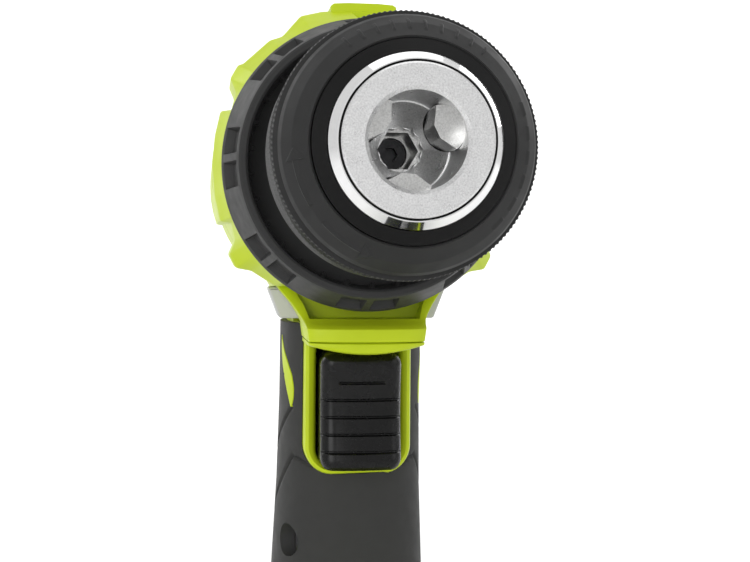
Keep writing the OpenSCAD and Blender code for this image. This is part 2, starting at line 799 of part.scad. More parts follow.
module release_button() {
    front = pack_mid_y - pack_l / 2;
    color("black") {
        translate([-8.8, front + 0.4, pack_h - 11.6]) cube([17.6, 3, 11.2]);
        translate([-8.8, front + 3.2, pack_h - 9]) cube([17.6, 4.4, 4]);
        translate([-6, front + 6.6, pack_h - 5.2]) cube([12, 3, 5]);
    }
}

module button_spring() {
    color("silver") translate([0, pack_mid_y - pack_l / 2 + 5.75, pack_h - 16.2])
        coil_spring(1.75, 0.35, 7, 4, 12);
}

module pack_screws() {
    color("silver") at_pack_corners() translate([0, 0, 1.6]) {
        cylinder(r = 2, h = 1.6);
        cylinder(r = 1.1, h = split_z + 6);
    }
}

chuck_body();
nose_ring();
nose_bezel();
chuck_sleeve();
jaw_nut();
jaw(0);  // jaw_1
jaw(1);  // jaw_2
jaw(2);  // jaw_3
chuck_rear_collar();
chuck_screw();
spindle();
output_carrier();
spindle_bearing();
spindle_bushing();
torque_ring();
clutch_nut();
clutch_spring();
clutch_balls();
gear_case();
output_ring_gear();
output_planet(0);  // output_planet_1
output_planet(1);  // output_planet_2
output_planet(2);  // output_planet_3
input_carrier();
input_planet(0);  // input_planet_1
input_planet(1);  // input_planet_2
input_planet(2);  // input_planet_3
shift_ring_gear();
speed_selector();
motor_pinion();
rotor();
motor_fan();
stator();
motor_bearings();
motor_bracket();
front_housing();
front_screws();
housing(-1);  // housing_left
housing(1);  // housing_right
handle(-1);  // handle_left
handle(1);  // handle_right
rear_cap();
grip(-1);  // grip_left
grip(1);  // grip_right
housing_screws();
trigger_frame();
trigger();
trigger_spring();
switch_module();
direction_selector();
control_board();
work_light();
terminal_block();
belt_clip_inserts();
pack_upper_case();
pack_lower_case();
pack_cells();
pack_board();
release_button();
button_spring();
pack_screws();
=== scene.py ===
import json
import math

import bmesh
import bpy
from mathutils import Matrix, Vector


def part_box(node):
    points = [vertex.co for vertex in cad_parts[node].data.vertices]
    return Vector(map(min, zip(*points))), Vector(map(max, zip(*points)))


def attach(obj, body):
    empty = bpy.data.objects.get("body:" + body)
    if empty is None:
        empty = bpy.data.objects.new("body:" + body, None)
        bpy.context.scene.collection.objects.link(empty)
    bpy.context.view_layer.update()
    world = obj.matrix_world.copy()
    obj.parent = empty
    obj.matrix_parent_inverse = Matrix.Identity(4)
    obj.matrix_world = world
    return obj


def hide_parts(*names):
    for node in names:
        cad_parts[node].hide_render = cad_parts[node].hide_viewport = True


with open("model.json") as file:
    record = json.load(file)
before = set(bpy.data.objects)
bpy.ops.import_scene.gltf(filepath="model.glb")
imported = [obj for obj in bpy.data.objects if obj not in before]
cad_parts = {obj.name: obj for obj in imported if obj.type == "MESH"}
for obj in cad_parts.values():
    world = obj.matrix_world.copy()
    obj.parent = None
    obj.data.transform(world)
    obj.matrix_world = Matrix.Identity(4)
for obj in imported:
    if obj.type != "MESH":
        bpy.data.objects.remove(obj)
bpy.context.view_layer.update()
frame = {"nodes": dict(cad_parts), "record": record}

MM = 0.001

# Driving places, in millimetres, worked out from the frame. T is how far forward of the torque
# ring's back edge a place is, and the chuck's nose ends at NOSE_T.
AXIS_Z = (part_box("nose_ring")[0].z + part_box("nose_ring")[1].z) / 2 / MM
NOSE_T = 62
FLANGE_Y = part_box("chuck_body")[0].y / MM + NOSE_T
GRIP_Y = FLANGE_Y + 31
GRIP_TOP = AXIS_Z - 34
GRIP_RAKE = math.radians(5)
PACK_Y = (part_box("pack_lower_case")[0].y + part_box("pack_lower_case")[1].y) / 2 / MM
FOOT_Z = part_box("pack_upper_case")[1].z / MM - 7.5

# Planes across the axis, as T: the joint of front housing and barrel, the barrel's two ends and
# the back of the trigger's frame
SPLIT_T = -23.85
FRAME_BACK = -22.4
BARREL_FRONT = -24
BARREL_BACK = -101


# ---------- places ----------

def at(x, t, z):
    """A point near the drill's axis: x, then T as said above, then z from the axis."""
    return (x, FLANGE_Y - t, AXIS_Z + z)


def on_handle(x, y, z):
    """A point in the raked handle's own frame."""
    c, s = math.cos(GRIP_RAKE), math.sin(GRIP_RAKE)
    return (x, GRIP_Y + y * c - z * s, GRIP_TOP + y * s + z * c)


def ramp(value, start, end):
    """0 before start, 1 after end, smooth between."""
    k = min(1.0, max(0.0, (value - start) / (end - start)))
    return k * k * (3 - 2 * k)


def table_value(table, key):
    """Straight-line interpolation in a short list of (key, value) pairs."""
    for (k0, v0), (k1, v1) in zip(table, table[1:]):
        if key <= k1:
            return v0 + (v1 - v0) * max(0.0, (key - k0) / (k1 - k0))
    return table[-1][1]


def full_turn(count):
    """Equal angles round a circle, in radians."""
    return [2 * math.pi * k / count for k in range(count)]


# ---------- mesh helpers ----------

def make(name, points, faces):
    """A mesh object from points in millimetres, without doubled points or faces turned inward."""
    mesh = bpy.data.meshes.new(name)
    mesh.from_pydata([Vector(p) * MM for p in points], [], faces)
    bm = bmesh.new()
    bm.from_mesh(mesh)
    bmesh.ops.remove_doubles(bm, verts=bm.verts, dist=1e-7)
    bmesh.ops.dissolve_degenerate(bm, dist=1e-8, edges=bm.edges)
    bmesh.ops.recalc_face_normals(bm, faces=bm.faces)
    bm.to_mesh(mesh)
    bm.free()
    obj = bpy.data.objects.new(name, mesh)
    bpy.context.scene.collection.objects.link(obj)
    return obj


def loft(name, rings, closed=False):
    """A skin over rings of equal length, capped at both ends unless the last ring joins the first."""
    count = len(rings[0])
    points = [p for ring in rings for p in ring]
    faces = []
    for r in range(len(rings) if closed else len(rings) - 1):
        a, b = r * count, (r + 1) % len(rings) * count
        for n in range(count):
            m = (n + 1) % count
            faces.append((a + n, a + m, b + m, b + n))
    if not closed:
        faces.append(tuple(range(count - 1, -1, -1)))
        faces.append(tuple(range((len(rings) - 1) * count, len(rings) * count)))
    return make(name, points, faces)


def refined(path, step):
    """An open path with its long stretches split."""
    out = []
    for (r0, t0), (r1, t1) in zip(path, path[1:]):
        parts = max(1, math.ceil(math.hypot(r1 - r0, t1 - t0) / step))
        out += [(r0 + (r1 - r0) * k / parts, t0 + (t1 - t0) * k / parts) for k in range(parts)]
    return out + path[-1:]


def lathe(name, profile, steps=144, shape=None):
    """A turned part on the drill's axis; shape(angle, r, t) may change each radius."""
    rings = []
    for n in range(steps):
        angle = 360 * n / steps
        c, s = math.cos(math.radians(angle)), math.sin(math.radians(angle))
        ring = []
        for r, t in profile:
            radius = shape(angle, r, t) if shape else r
            ring.append(at(radius * c, t, radius * s))
        rings.append(ring)
    return loft(name, rings, closed=True)


def rounded(points, radius, steps=5):
    """An outline with every corner rounded."""
    out = []
    for n, p in enumerate(points):
        p = Vector(p)
        before, after = Vector(points[n - 1]), Vector(points[(n + 1) % len(points)])
        size = min(radius, (before - p).length * 0.48, (after - p).length * 0.48)
        a, b = p + (before - p).normalized() * size, p + (after - p).normalized() * size
        for k in range(steps + 1):
            f = k / steps
            out.append(tuple(a * (1 - f) ** 2 + p * 2 * f * (1 - f) + b * f * f))
    return out


def rectangle(w, h, radius=0.0, centre=(0, 0), steps=6):
    """A rectangle with true quarter-circle corners."""
    x, y = centre
    if radius <= 0:
        return [(x + a * w / 2, y + b * h / 2) for a, b in ((1, 1), (-1, 1), (-1, -1), (1, -1))]
    out = []
    for start, (a, b) in ((0, (1, 1)), (90, (-1, 1)), (180, (-1, -1)), (270, (1, -1))):
        for k in range(steps + 1):
            q = math.radians(start + 90 * k / steps)
            out.append((x + a * (w / 2 - radius) + radius * math.cos(q),
                        y + b * (h / 2 - radius) + radius * math.sin(q)))
    return out


def inset(outline, amount):
    """The outline moved inwards by amount, or outwards if that is negative."""
    area = sum(a[0] * b[1] - b[0] * a[1] for a, b in zip(outline, outline[1:] + outline[:1]))
    turn = 1 if area > 0 else -1
    out = []
    for n, p in enumerate(outline):
        p = Vector(p)
        e0 = (p - Vector(outline[n - 1])).normalized()
        e1 = (Vector(outline[(n + 1) % len(outline)]) - p).normalized()
        n0, n1 = Vector((-e0.y, e0.x)) * turn, Vector((-e1.y, e1.x)) * turn
        out.append(tuple(p + (n0 + n1) * amount / max(0.35, 1 + n0.dot(n1))))
    return out


def soft_levels(low, high, edge, steps=3):
    """(depth, inset) pairs for a prism whose two rims are rounded."""
    turns = [math.radians(90 * k / steps) for k in range(steps + 1)]
    arc = [(edge * (1 - math.cos(q)), edge * (1 - math.sin(q))) for q in turns]
    return [(low + d, i) for d, i in arc] + [(high - d, i) for d, i in reversed(arc)]


def prism(name, outline, low, high, edge, place):
    """An extruded outline with rounded rims. place(u, v, depth) gives each point."""
    levels = soft_levels(low, high, edge)
    return loft(name, [[place(u, v, d) for u, v in inset(outline, i)] for d, i in levels])


def forward(u, v, depth):
    """For an outline seen from the front, with T as its depth."""
    return at(u, depth, v)


def upward(u, v, depth):
    """For an outline seen from above."""
    return (u, v, depth)


def sideways(u, v, depth):
    """For an outline seen from the side."""
    return (depth, u, v)


def block(low, high):
    """A plain box that cuts, between two corners."""
    (x0, y0, z0), (x1, y1, z1) = low, high
    base = [(x0, y0), (x1, y0), (x1, y1), (x0, y1)]
    return loft("cutter", [[(x, y, z) for x, y in base] for z in (z0, z1)])


def rod(start, end, radius, sides=40):
    """A straight round bar that cuts, between two points."""
    a, b = Vector(start), Vector(end)
    axis = (b - a).normalized()
    u = axis.orthogonal().normalized()
    v = axis.cross(u)
    circle = [u * math.cos(q) * radius + v * math.sin(q) * radius for q in full_turn(sides)]
    return loft("cutter", [[p + c for c in circle] for p in (a, b)])


def combine(obj, tools, operation):
    """Unites obj with the tools, cuts them out of it or keeps what is in both, and removes them.

    The exact solver steps in where the fast one leaves nothing, or leaves obj uncut."""
    for solver in ("MANIFOLD", "EXACT"):
        for tool in tools:
            step = obj.modifiers.new("combine", "BOOLEAN")
            step.operation = operation
            step.solver = solver
            step.object = tool
        bpy.context.view_layer.update()
        graph = bpy.context.evaluated_depsgraph_get()
        mesh = bpy.data.meshes.new_from_object(obj.evaluated_get(graph))
        obj.modifiers.clear()
        changed = operation != "DIFFERENCE" or len(mesh.polygons) != len(obj.data.polygons)
        if len(mesh.polygons) > 3 and changed:
            obj.data = mesh
            break
    for tool in tools:
        bpy.data.objects.remove(tool)


def copy_of(obj, name):
    """A second object with a mesh of its own."""
    twin = obj.copy()
    twin.data = obj.data.copy()
    twin.name = name
    bpy.context.scene.collection.objects.link(twin)
    return twin


def halved(obj, side, name, gap=0.05):
    """The half of obj on one side of the middle plane, capped along the seam."""
    half = copy_of(obj, name)
    bm = bmesh.new()
    bm.from_mesh(half.data)
    geometry = bm.verts[:] + bm.edges[:] + bm.faces[:]
    cut = bmesh.ops.bisect_plane(bm, geom=geometry, dist=1e-8, plane_co=(side * gap * MM, 0, 0),
                                 plane_no=(-side, 0, 0), clear_outer=True)
    edges = [e for e in cut["geom_cut"] if isinstance(e, bmesh.types.BMEdge)]
    bmesh.ops.holes_fill(bm, edges=edges, sides=0)
    bmesh.ops.triangulate(bm, faces=[f for f in bm.faces if len(f.verts) > 4])
    bm.to_mesh(half.data)
    bm.free()
    return half


def piece(obj, material, body, slot, *nodes, sharp=32):
    """Finishes a visible piece: its material, smooth faces with creases, body, and the CAD nodes it
    hides; slot is not used.
    """
    obj.data.materials.clear()
    obj.data.materials.append(material)
    for polygon in obj.data.polygons:
        polygon.use_smooth = True
    obj.data.set_sharp_from_angle(angle=math.radians(sharp))
    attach(obj, body)
    if nodes:
        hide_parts(*nodes)


# ---------- materials ----------

# Most of a noise texture's values lie between these
NOISE_LOW, NOISE_HIGH = 0.3, 0.7


class Finish:
    """A procedural material: one shader with noise for colour, roughness and relief."""

    def __init__(self, name, metallic=0.0, coat=0.0, ior=1.5):
        self.material = bpy.data.materials.new(name)
        self.material.use_nodes = True
        self.tree = self.material.node_tree
        self.shader = self.tree.nodes["Principled BSDF"]
        self.shader.inputs["Metallic"].default_value = metallic
        self.shader.inputs["Coat Weight"].default_value = coat
        self.shader.inputs["IOR"].default_value = ior
        self.place = self.tree.nodes.new("ShaderNodeTexCoord")

    def node(self, kind, **values):
        """A new shader node with some of its inputs set."""
        made = self.tree.nodes.new(kind)
        for key, value in values.items():
            made.inputs[key.replace("_", " ")].default_value = value
        return made

    def noise(self, size, detail=3.0, stretch=(1, 1, 1)):
        """Noise whose features are about size millimetres across."""
        scale = self.node("ShaderNodeMapping")
        scale.inputs["Scale"].default_value = [1 / s for s in stretch]
        self.tree.links.new(self.place.outputs["Object"], scale.inputs["Vector"])
        noise = self.node("ShaderNodeTexNoise", Scale=1 / (size * MM), Detail=detail)
        self.tree.links.new(scale.outputs["Vector"], noise.inputs["Vector"])
        return noise.outputs["Fac"]

    def colour(self, source, low, high):
        """Base colour that runs from low to high over the source's middle values."""
        mix = self.tree.nodes.new("ShaderNodeValToRGB")
        mix.color_ramp.elements[0].position = NOISE_LOW
        mix.color_ramp.elements[1].position = NOISE_HIGH
        mix.color_ramp.elements[0].color = (*low, 1)
        mix.color_ramp.elements[1].color = (*high, 1)
        self.tree.links.new(source, mix.inputs["Fac"])
        self.tree.links.new(mix.outputs["Color"], self.shader.inputs["Base Color"])

    def roughness(self, source, low, high):
        """Roughness that runs from low to high over the source's middle values."""
        span = self.node("ShaderNodeMapRange")
        span.inputs["From Min"].default_value = NOISE_LOW
        span.inputs["From Max"].default_value = NOISE_HIGH
        span.inputs["To Min"].default_value = low
        span.inputs["To Max"].default_value = high
        self.tree.links.new(source, span.inputs["Value"])
        self.tree.links.new(span.outputs["Result"], self.shader.inputs["Roughness"])

    def relief(self, source, strength, depth):
        """Fine grain, depth millimetres deep."""
        bump = self.node("ShaderNodeBump", Strength=strength, Distance=depth * MM)
        self.tree.links.new(source, bump.inputs["Height"])
        self.tree.links.new(bump.outputs["Normal"], self.shader.inputs["Normal"])


def moulded(name, colour, rough, grain, strength, coat=0.0, ior=1.32):
    """Moulded plastic or rubber: fine spark-eroded grain and faint clouding."""
    finish = Finish(name, coat=coat, ior=ior)
    low = [c * 0.965 for c in colour]
    high = [min(1, c * 1.03) for c in colour]
    finish.colour(finish.noise(11, 2), low, high)
    finish.roughness(finish.noise(3, 4), rough - 0.05, rough + 0.06)
    finish.relief(finish.noise(grain, 3), strength, 0.03)
    return finish.material


def metal(name, colour, rough, grain, spread, strength, stretch=(1, 1, 1), depth=0.02):
    """Bare or plated metal with a machined or blasted grain."""
    finish = Finish(name, metallic=1.0)
    speckle = finish.noise(grain, 4, stretch)
    low = [c * (1 - spread) for c in colour]
    high = [min(1, c * (1 + spread / 2)) for c in colour]
    finish.colour(speckle, low, high)
    finish.roughness(finish.noise(grain * 4, 3, stretch), rough * 0.8, rough * 1.2)
    finish.relief(speckle, strength, depth)
    return finish.material


# The finish of each material slot, and below them those of single pieces
LOOK = {
    "housing_green": moulded("housing_green", (0.50, 0.62, 0.012), 0.42, 0.5, 0.08, coat=0.03),
    "grip_rubber": moulded("grip_rubber", (0.033, 0.033, 0.032), 0.6, 0.3, 0.3),
    "black_plastic": moulded("black_plastic", (0.022, 0.023, 0.024), 0.42, 0.4, 0.2),
    "trigger_black": moulded("trigger_black", (0.003, 0.003, 0.003), 0.26, 0.8, 0.05, ior=1.34),
    "selector_grey": moulded("selector_grey", (0.52, 0.52, 0.53), 0.42, 0.4, 0.15),
    "brushed_nose": metal("brushed_nose", (0.82, 0.82, 0.82), 0.32, 0.3, 0.2, 0.12),
    "polished_ring": metal("polished_ring", (0.93, 0.93, 0.93), 0.07, 1.5, 0.02, 0.02),
    "hardened_steel": metal("hardened_steel", (0.64, 0.64, 0.63), 0.32, 0.3, 0.2, 0.15),
    "zinc_steel": metal("zinc_steel", (0.68, 0.69, 0.71), 0.3, 0.6, 0.1, 0.1),
    "gear_steel": metal("gear_steel", (0.42, 0.41, 0.39), 0.38, 0.5, 0.15, 0.2),
    "cast_case": metal("cast_case", (0.55, 0.56, 0.57), 0.5, 0.8, 0.15, 0.4, depth=0.06),
    "bronze": metal("bronze", (0.62, 0.40, 0.18), 0.42, 0.5, 0.15, 0.2),
    "copper_windings": metal("copper_windings", (0.72, 0.34, 0.17), 0.35, 0.6, 0.2, 0.5, (8, 1, 1), 0.1),
    "contact_brass": metal("contact_brass", (0.83, 0.62, 0.26), 0.25, 0.6, 0.08, 0.1),
    "circuit_green": moulded("circuit_green", (0.02, 0.16, 0.06), 0.35, 1.2, 0.1, coat=0.3),
    "cell_blue": moulded("cell_blue", (0.012, 0.024, 0.055), 0.3, 1.5, 0.06, coat=0.3),
    "light_lens": moulded("light_lens", (0.82, 0.84, 0.86), 0.12, 2.0, 0.05, coat=0.4),

    "sleeve": moulded("sleeve_plastic", (0.023, 0.023, 0.023), 0.52, 0.45, 0.12, ior=1.28),
    "ring": moulded("ring_plastic", (0.033, 0.033, 0.033), 0.5, 0.45, 0.12, ior=1.28),
    "bezel": moulded("bezel_plastic", (0.004, 0.004, 0.004), 0.4, 0.45, 0.1, ior=1.25),
    "black_oxide": metal("black_oxide", (0.05, 0.05, 0.052), 0.4, 0.5, 0.2, 0.2),
    "pack": moulded("pack_plastic", (0.028, 0.029, 0.030), 0.5, 0.35, 0.25),
}

# CAD nodes whose finish is darker than their slot's
NODE_LOOK = {
    "nose_bezel": "bezel",
    "housing_screws": "black_oxide",
    "front_screws": "black_oxide",
    "chuck_screw": "black_oxide",
}


def dress_cad():
    """Every CAD node gets the finish of its slot; the ones that a piece replaces aren't shown."""
    for part in frame["record"]["subparts"]:
        mesh = frame["nodes"][part["node"]].data
        mesh.materials.clear()
        mesh.materials.append(LOOK[NODE_LOOK.get(part["node"], part["material_slot"])])


# ---------- chuck ----------

# The sleeve's knurl, and the marks on its cone
SLEEVE_TEETH = 156
KNURL_DEPTH = 0.5
MARK_R = 19.6
MARK_RISE = 0.24


def arrow_height(angle, r, start, end):
    """A curved arrow round the sleeve's cone from one angle to another, its tip at the end."""
    sign = 1 if end > start else -1
    ahead = math.radians((end - angle) * sign) * MARK_R
    behind = math.radians((angle - start) * sign) * MARK_R
    if ahead < 0 or behind < 0:
        return 0.0
    half = 0.62 * ahead if ahead < 2.1 else 0.27
    return ramp(half - abs(r - MARK_R), -0.12, 0.12)


def mark_height(angle, r):
    """Generic marks on the cone: two arrows, a scale and a row of dashes."""
    angle = (angle + 90) % 360 - 90
    height = max(arrow_height(angle, r, 212, 183), arrow_height(angle, r, 222, 251))
    if 52 < angle < 128:
        off = abs((angle - 56) % 8 - 4)
        height = max(height, ramp(0.75 - off, -0.15, 0.3) * ramp(0.95 - abs(r - MARK_R), -0.1, 0.1))
    if -48 < angle < 26:
        off = abs((angle + 48) % 12 - 6) - 3.6
        height = max(height, ramp(-off, -0.3, 0.3) * ramp(0.2 - abs(r - MARK_R), -0.12, 0.12))
    return height


def sleeve_shape(angle, r, t):
    """The marks on the cone, and slanted teeth that are deeper in front of a wavy line."""
    if t > 51.2 and r > 17.3:
        return r + MARK_RISE * mark_height(angle, r)
    if r > 22.5 and 31.9 < t < 49.5:
        wave = 44.6 + 2.6 * math.sin(math.radians(6 * angle))
        tooth = abs(((angle + 0.9 * t) * SLEEVE_TEETH / 360) % 1 - 0.5) * 2
        share = 0.35 + 0.65 * ramp(t, wave - 0.6, wave + 0.6)
        depth = ramp(t, 32.2, 33.2) * share * ramp(49.6 - t, 0, 0.5)
        return r - KNURL_DEPTH * depth * ramp(tooth, 0.25, 0.75)
    return r


def chuck_sleeve():
    """The sleeve: a cone with marks in front, a knurled grip behind it and a plain tail."""
    cone = [(17.05, 57.3), (17.4, 57.5), (19.9, 55), (21.5, 52.6), (22, 51.2), (21.9, 50.9)]
    rim = [(21.4, 50.6), (21.4, 50.1), (22.75, 49.8), (23, 49.4)]
    tail = [(23, 31.6), (22.6, 31.2), (21.3, 30.8), (21.3, 23.5), (20.9, 23), (19.95, 23)]
    inside = [(19.95, 43.1), (14.5, 43.9), (14.5, 55.35), (17.05, 55.35)]
    knurl = [(23, 49.4 - 17.8 * k / 24) for k in range(1, 24)]
    profile = refined(cone, 0.24) + rim + knurl + tail + inside
    sleeve = lathe("chuck_sleeve_skin", profile, 1248, sleeve_shape)
    piece(sleeve, LOOK["sleeve"], "sleeve", "black_plastic", "chuck_sleeve", sharp=38)


def nose_groove_painted_shade():
    """A dark ring at the bottom of the groove between the nose and its bright ring: painted shade,
    standing in for the shadow deep in the groove.
    """
    groove_shade = lathe("nose_groove_painted_shade", [(12.6, 59.4), (12.9, 59.4), (12.9, 61.2), (12.6, 61.2)], 96)
    piece(groove_shade, LOOK["bezel"], "chuck", "black_plastic")


def ring_shape(angle, r, t):
    """Eight smooth pads with two finger pockets and a small rib between each pair."""
    local = (angle - 21 + 22.5) % 45 - 22.5
    far = abs(local)
    if r > 26.9 and 2.0 < t < 11.3:
        pocket = ramp(far, 10.3, 11.0) * (1 - ramp(far, 20.2, 20.9))
        return r - 1.7 * pocket * ramp(t, 2.2, 3.0) * (1 - ramp(t, 10.6, 11.2))
    if 24.6 < r < 25.45 and 4.5 < t < 9.5:
        rib = abs(angle % 12 - 6)
        return r - 0.9 * (1 - ramp(rib, 0.8, 1.4)) * (1 - ramp(t, 8.2, 9.4))
    return r


def torque_ring():
    """The clutch's setting ring, open in front round the chuck."""
    outer = [(27.6 + 2.65 * k / 22, 11.6 - 9.7 * k / 22) for k in range(23)]
    profile = [(16.7, 2), (16.7, 4), (24.9, 4), (24.93, 4.5), (25.1, 7.5), (25.2, 8.8), (25.3, 9.5),
               (25.4, 12.2), (25.6, 12.6), (26, 12.8), (26.9, 12.7), (27.3, 12.4)]
    profile += outer + [(30.5, 1.3), (30.5, 0.8), (30.2, 0.35), (24.4, 0.35)]
    profile += [(24.4, -8), (22.9, -8), (22.9, 2)]
    ring = lathe("torque_ring_skin", profile, 1080, ring_shape)
    piece(ring, LOOK["ring"], "torque_ring", "black_plastic", "torque_ring", sharp=28)


# ---------- housing ----------

# The right half of the front housing's outline, as x and z from the axis, with its side blocks
FRONT_HALF = [
    (0, 34.2), (9, 33.6), (13.6, 32.5), (17.5, 28), (20.2, 27.1), (25.9, 21.9), (26.9, 21.7),
    (28.6, 18.7), (27.4, 15.8), (28.3, 12), (30.6, 11.8), (31.8, 6.5), (32.3, 0), (31.8, -6.5),
    (30.6, -11.8), (28.3, -12), (27.4, -15.8), (28.7, -18.8), (27.2, -21.7), (23.8, -22.3),
    (18.6, -25.6)
]
# The front housing's four screws, from the axis
BOSSES = [(s * 23.4, z) for s in (-1, 1) for z in (18.4, -18.6)]
FRONT_CORE_R = 29.7
NECK_FLOOR = -36.9

# The neck's sections: height, half width, T of the front edge's middle, and how far it bows
NECK_SECTIONS = [
    (-20, 21.5, -12.5, 1), (-22, 20.5, -12, 1), (-26.4, 17.7, -8.5, 1), (-29.4, 15.2, -5.5, 1),
    (-31.4, 13.9, -3.5, 1.2), (-32.4, 13.3, -1.8, 1.5), (-33.2, 12.95, 0.6, 1.7),
    (-33.9, 12.75, 2.6, 1.8), (-34.2, 12.7, 2.95, 1.8), (-35.5, 12.5, 3.05, 1.8),
    (NECK_FLOOR + 0.2, 12.35, 2.95, 1.8), (NECK_FLOOR, 12.2, 2.7, 1.8)
]


def mirrored(half):
    """A whole outline from the half to the right of the middle."""
    return half + [(-x, z) for x, z in reversed(half) if x > 0]


def bowed(half, front, bow):
    """A front edge from left to right, as x and T: furthest forward in the middle."""
    return [(half * math.sin(math.radians(q)), front - bow * 1.6 * (1 - math.cos(math.radians(q))))
            for q in range(-90, 91, 9)]


def neck():
    """The shoulder that carries the trigger's brow, with a lip that reaches under the torque ring."""
    sections = []
    for z, half, front, bow in NECK_SECTIONS:
        edge = bowed(half, front, bow)
        sections.append([at(x, t, z) for x, t in edge] + [at(half, SPLIT_T, z), at(-half, SPLIT_T, z)])
    return loft("neck", sections)


def top_lug():
    """The front end of the raised block on top, carried on over the front housing."""
    outline = [(-7.1, 30), (7.1, 30), (7.1, 34.9), (6.4, 35.4), (3, 35.6), (-3, 35.6), (-6.4, 35.4),
               (-7.1, 34.9)]
    return prism("top_lug", outline, SPLIT_T, -8.7, 0.3, forward)


def selector_slot():
    """The slot right through the neck for the direction selector."""
    return block((-30, FLANGE_Y + 16.6, AXIS_Z - 33.9), (30, FLANGE_Y + 25.4, AXIS_Z - 25.5))


def front_skin():
    """The front housing's outside: its blocks sink towards a round core as they come forward."""
    outline = rounded(mirrored(FRONT_HALF), 0.5, 2)
    rings = []
    for t, share in ((SPLIT_T, 1), (-9.5, 1), (-8.9, 0.97), (-8.4, 0.9), (-2.6, 0.2), (-0.9, 0.04),
                     (-0.45, 0)):
        ring = []
        for x, z in outline:
            r = math.hypot(x, z)
            k = (FRONT_CORE_R + (r - FRONT_CORE_R) * share) / r if r > FRONT_CORE_R else 1
            ring.append(at(x * k, t, z * k))
        rings.append(ring)
    return loft("front_housing_skin", rings)


def scoop():
    """The hollow between the torque ring and the neck's lip."""
    half = [(18, -20), (15.4, -25), (12.9, -29.4), (11.8, -32.3)]
    return loft("scoop", [[at(x, t, z) for x, z in mirrored(half)] for t in (-9.6, 9)])


def front_housing():
    """The green housing round the clutch, with its neck, screw holes from behind and a pointer."""
    shell = front_skin()
    disc = lathe("disc", [(0, -20), (29.4, -20), (29.7, -1.2), (29.3, -0.4), (0, -0.4)], 180)
    combine(shell, [disc, neck(), top_lug()], "UNION")
    bore = lathe("bore", [(0, -30), (26, -30), (26, -8.5), (24.6, -8.5), (24.6, 4), (0, 4)], 120)
    cuts = [bore, selector_slot(), scoop()]
    for x, z in BOSSES:
        cuts.append(rod(at(x, -30, z), at(x, -9, z), 1.6, 20))
        cuts.append(rod(at(x, -9.4, z), at(x, -7.2, z), 2.85, 28))
    pointer = [(-2.9, 33.6), (2.9, 33.6), (1.5, 31.1), (-1.5, 31.1)]
    cuts.append(loft("pointer", [[at(x, t, z) for x, z in pointer] for t in (-8.2, 2)]))
    combine(shell, cuts, "DIFFERENCE")
    piece(shell, LOOK["housing_green"], "housing", "housing_green", "front_housing", sharp=26)


# The grip's half width and half depth at heights down the handle
HANDLE_W = [(-90, 18.6), (-74, 18.5), (-58, 17.8), (-38, 16.8), (-18, 16.3), (6, 16.2)]
HANDLE_D = [(-90, 20.2), (-78, 19.2), (-60, 18.2), (-40, 18.0), (-22, 18.6), (-6, 18.4), (6, 18)]
# How square the handle's section is: 2 would be an ellipse
HANDLE_POWER = 2.35
# The housing screws from the left of the grip: y from the grip's middle, and z from the axis
SCREWS = [(13.1, -42), (-6.6, -84.1)]


def handle_ring(grow, z, count):
    """One section of the handle; grow moves its surface in or out."""
    half_w = table_value(HANDLE_W, z) + grow
    half_d = table_value(HANDLE_D, z) + grow
    ring = []
    for q in full_turn(count):
        c, s = math.cos(q), math.sin(q)
        x = half_w * math.copysign(abs(c) ** (2 / HANDLE_POWER), c)
        y = half_d * math.copysign(abs(s) ** (2 / HANDLE_POWER), s)
        ring.append((x, y, z))
    return ring


def handle_loft(name, grow, top, bottom, step=4.0, shape=None, count=120):
    """The raked handle from top to bottom; shape(point) may move each point."""
    parts = math.ceil((top - bottom) / step)
    rings = []
    for k in range(parts + 1):
        z = top + (bottom - top) * k / parts
        ring = handle_ring(grow, z, count)
        rings.append([on_handle(*(shape(p) if shape else p)) for p in ring])
    return loft(name, rings)


def barrel_shape(angle, r, t):
    """Raised side panels, the line round the barrel and the fine ribs on its upper back."""
    side = min(abs(angle - 180), angle, 360 - angle)
    if r > 30 and -97 < t < -24.6:
        pad = (1 - ramp(side, 19.5, 20.6)) * ramp(t, -96.6, -95.4) * (1 - ramp(t, -25.6, -24.8))
        groove = 0.45 * (1 - ramp(abs(t + 62), 0.35, 0.75))
        rib = 0.35 * ramp(abs(angle - 90), 12, 14) * (1 - ramp(abs(angle - 90), 30, 32))
        ribs = rib * (1 - ramp(abs((t + 200) % 5 - 2.5), 0.9, 1.5)) if -92 < t < -66 else 0
        return r + 1.5 * pad - groove * (1 - pad) + ribs
    return r


def barrel():
    """The round body, solid here and hollowed later."""
    outer = [(30.4, BARREL_FRONT), (30.8, -24.4)] + [(30.8, -24.8 - 0.4 * k) for k in range(181)]
    outer += [(30.8, -97.2), (30.8, -100.6), (30.4, BARREL_BACK)]
    return lathe("barrel", [(0, BARREL_FRONT)] + outer + [(0, BARREL_BACK)], 540, barrel_shape)


# The foot's sections: height over its bottom, width, y of the front and back, and corner radius
FOOT_SECTIONS = [
    (0, 60.6, -36.2, 51.2, 11), (0.35, 61.6, -36.4, 51.4, 11.6), (1, 62, -36.5, 51.5, 12),
    (9.5, 62, -36.5, 51.5, 12), (12.2, 61, -36.3, 51.2, 12), (14.2, 57.5, -35.4, 50, 13),
    (17.6, 48, -33.6, 44, 14), (20.7, 41.5, -26.5, 37.5, 15), (24, 38.4, -18.5, 33.5, 16),
    (28, 36.6, -14.5, 31.5, 16.5)
]


def foot():
    """The broad foot that the pack slides into, drawn in to the handle above."""
    sections = []
    for z, w, front, back, r in FOOT_SECTIONS:
        outline = rectangle(w, back - front, r, (0, (front + back) / 2), 8)
        sections.append([(x, y, FOOT_Z + z) for x, y in outline])
    return loft("foot", sections)


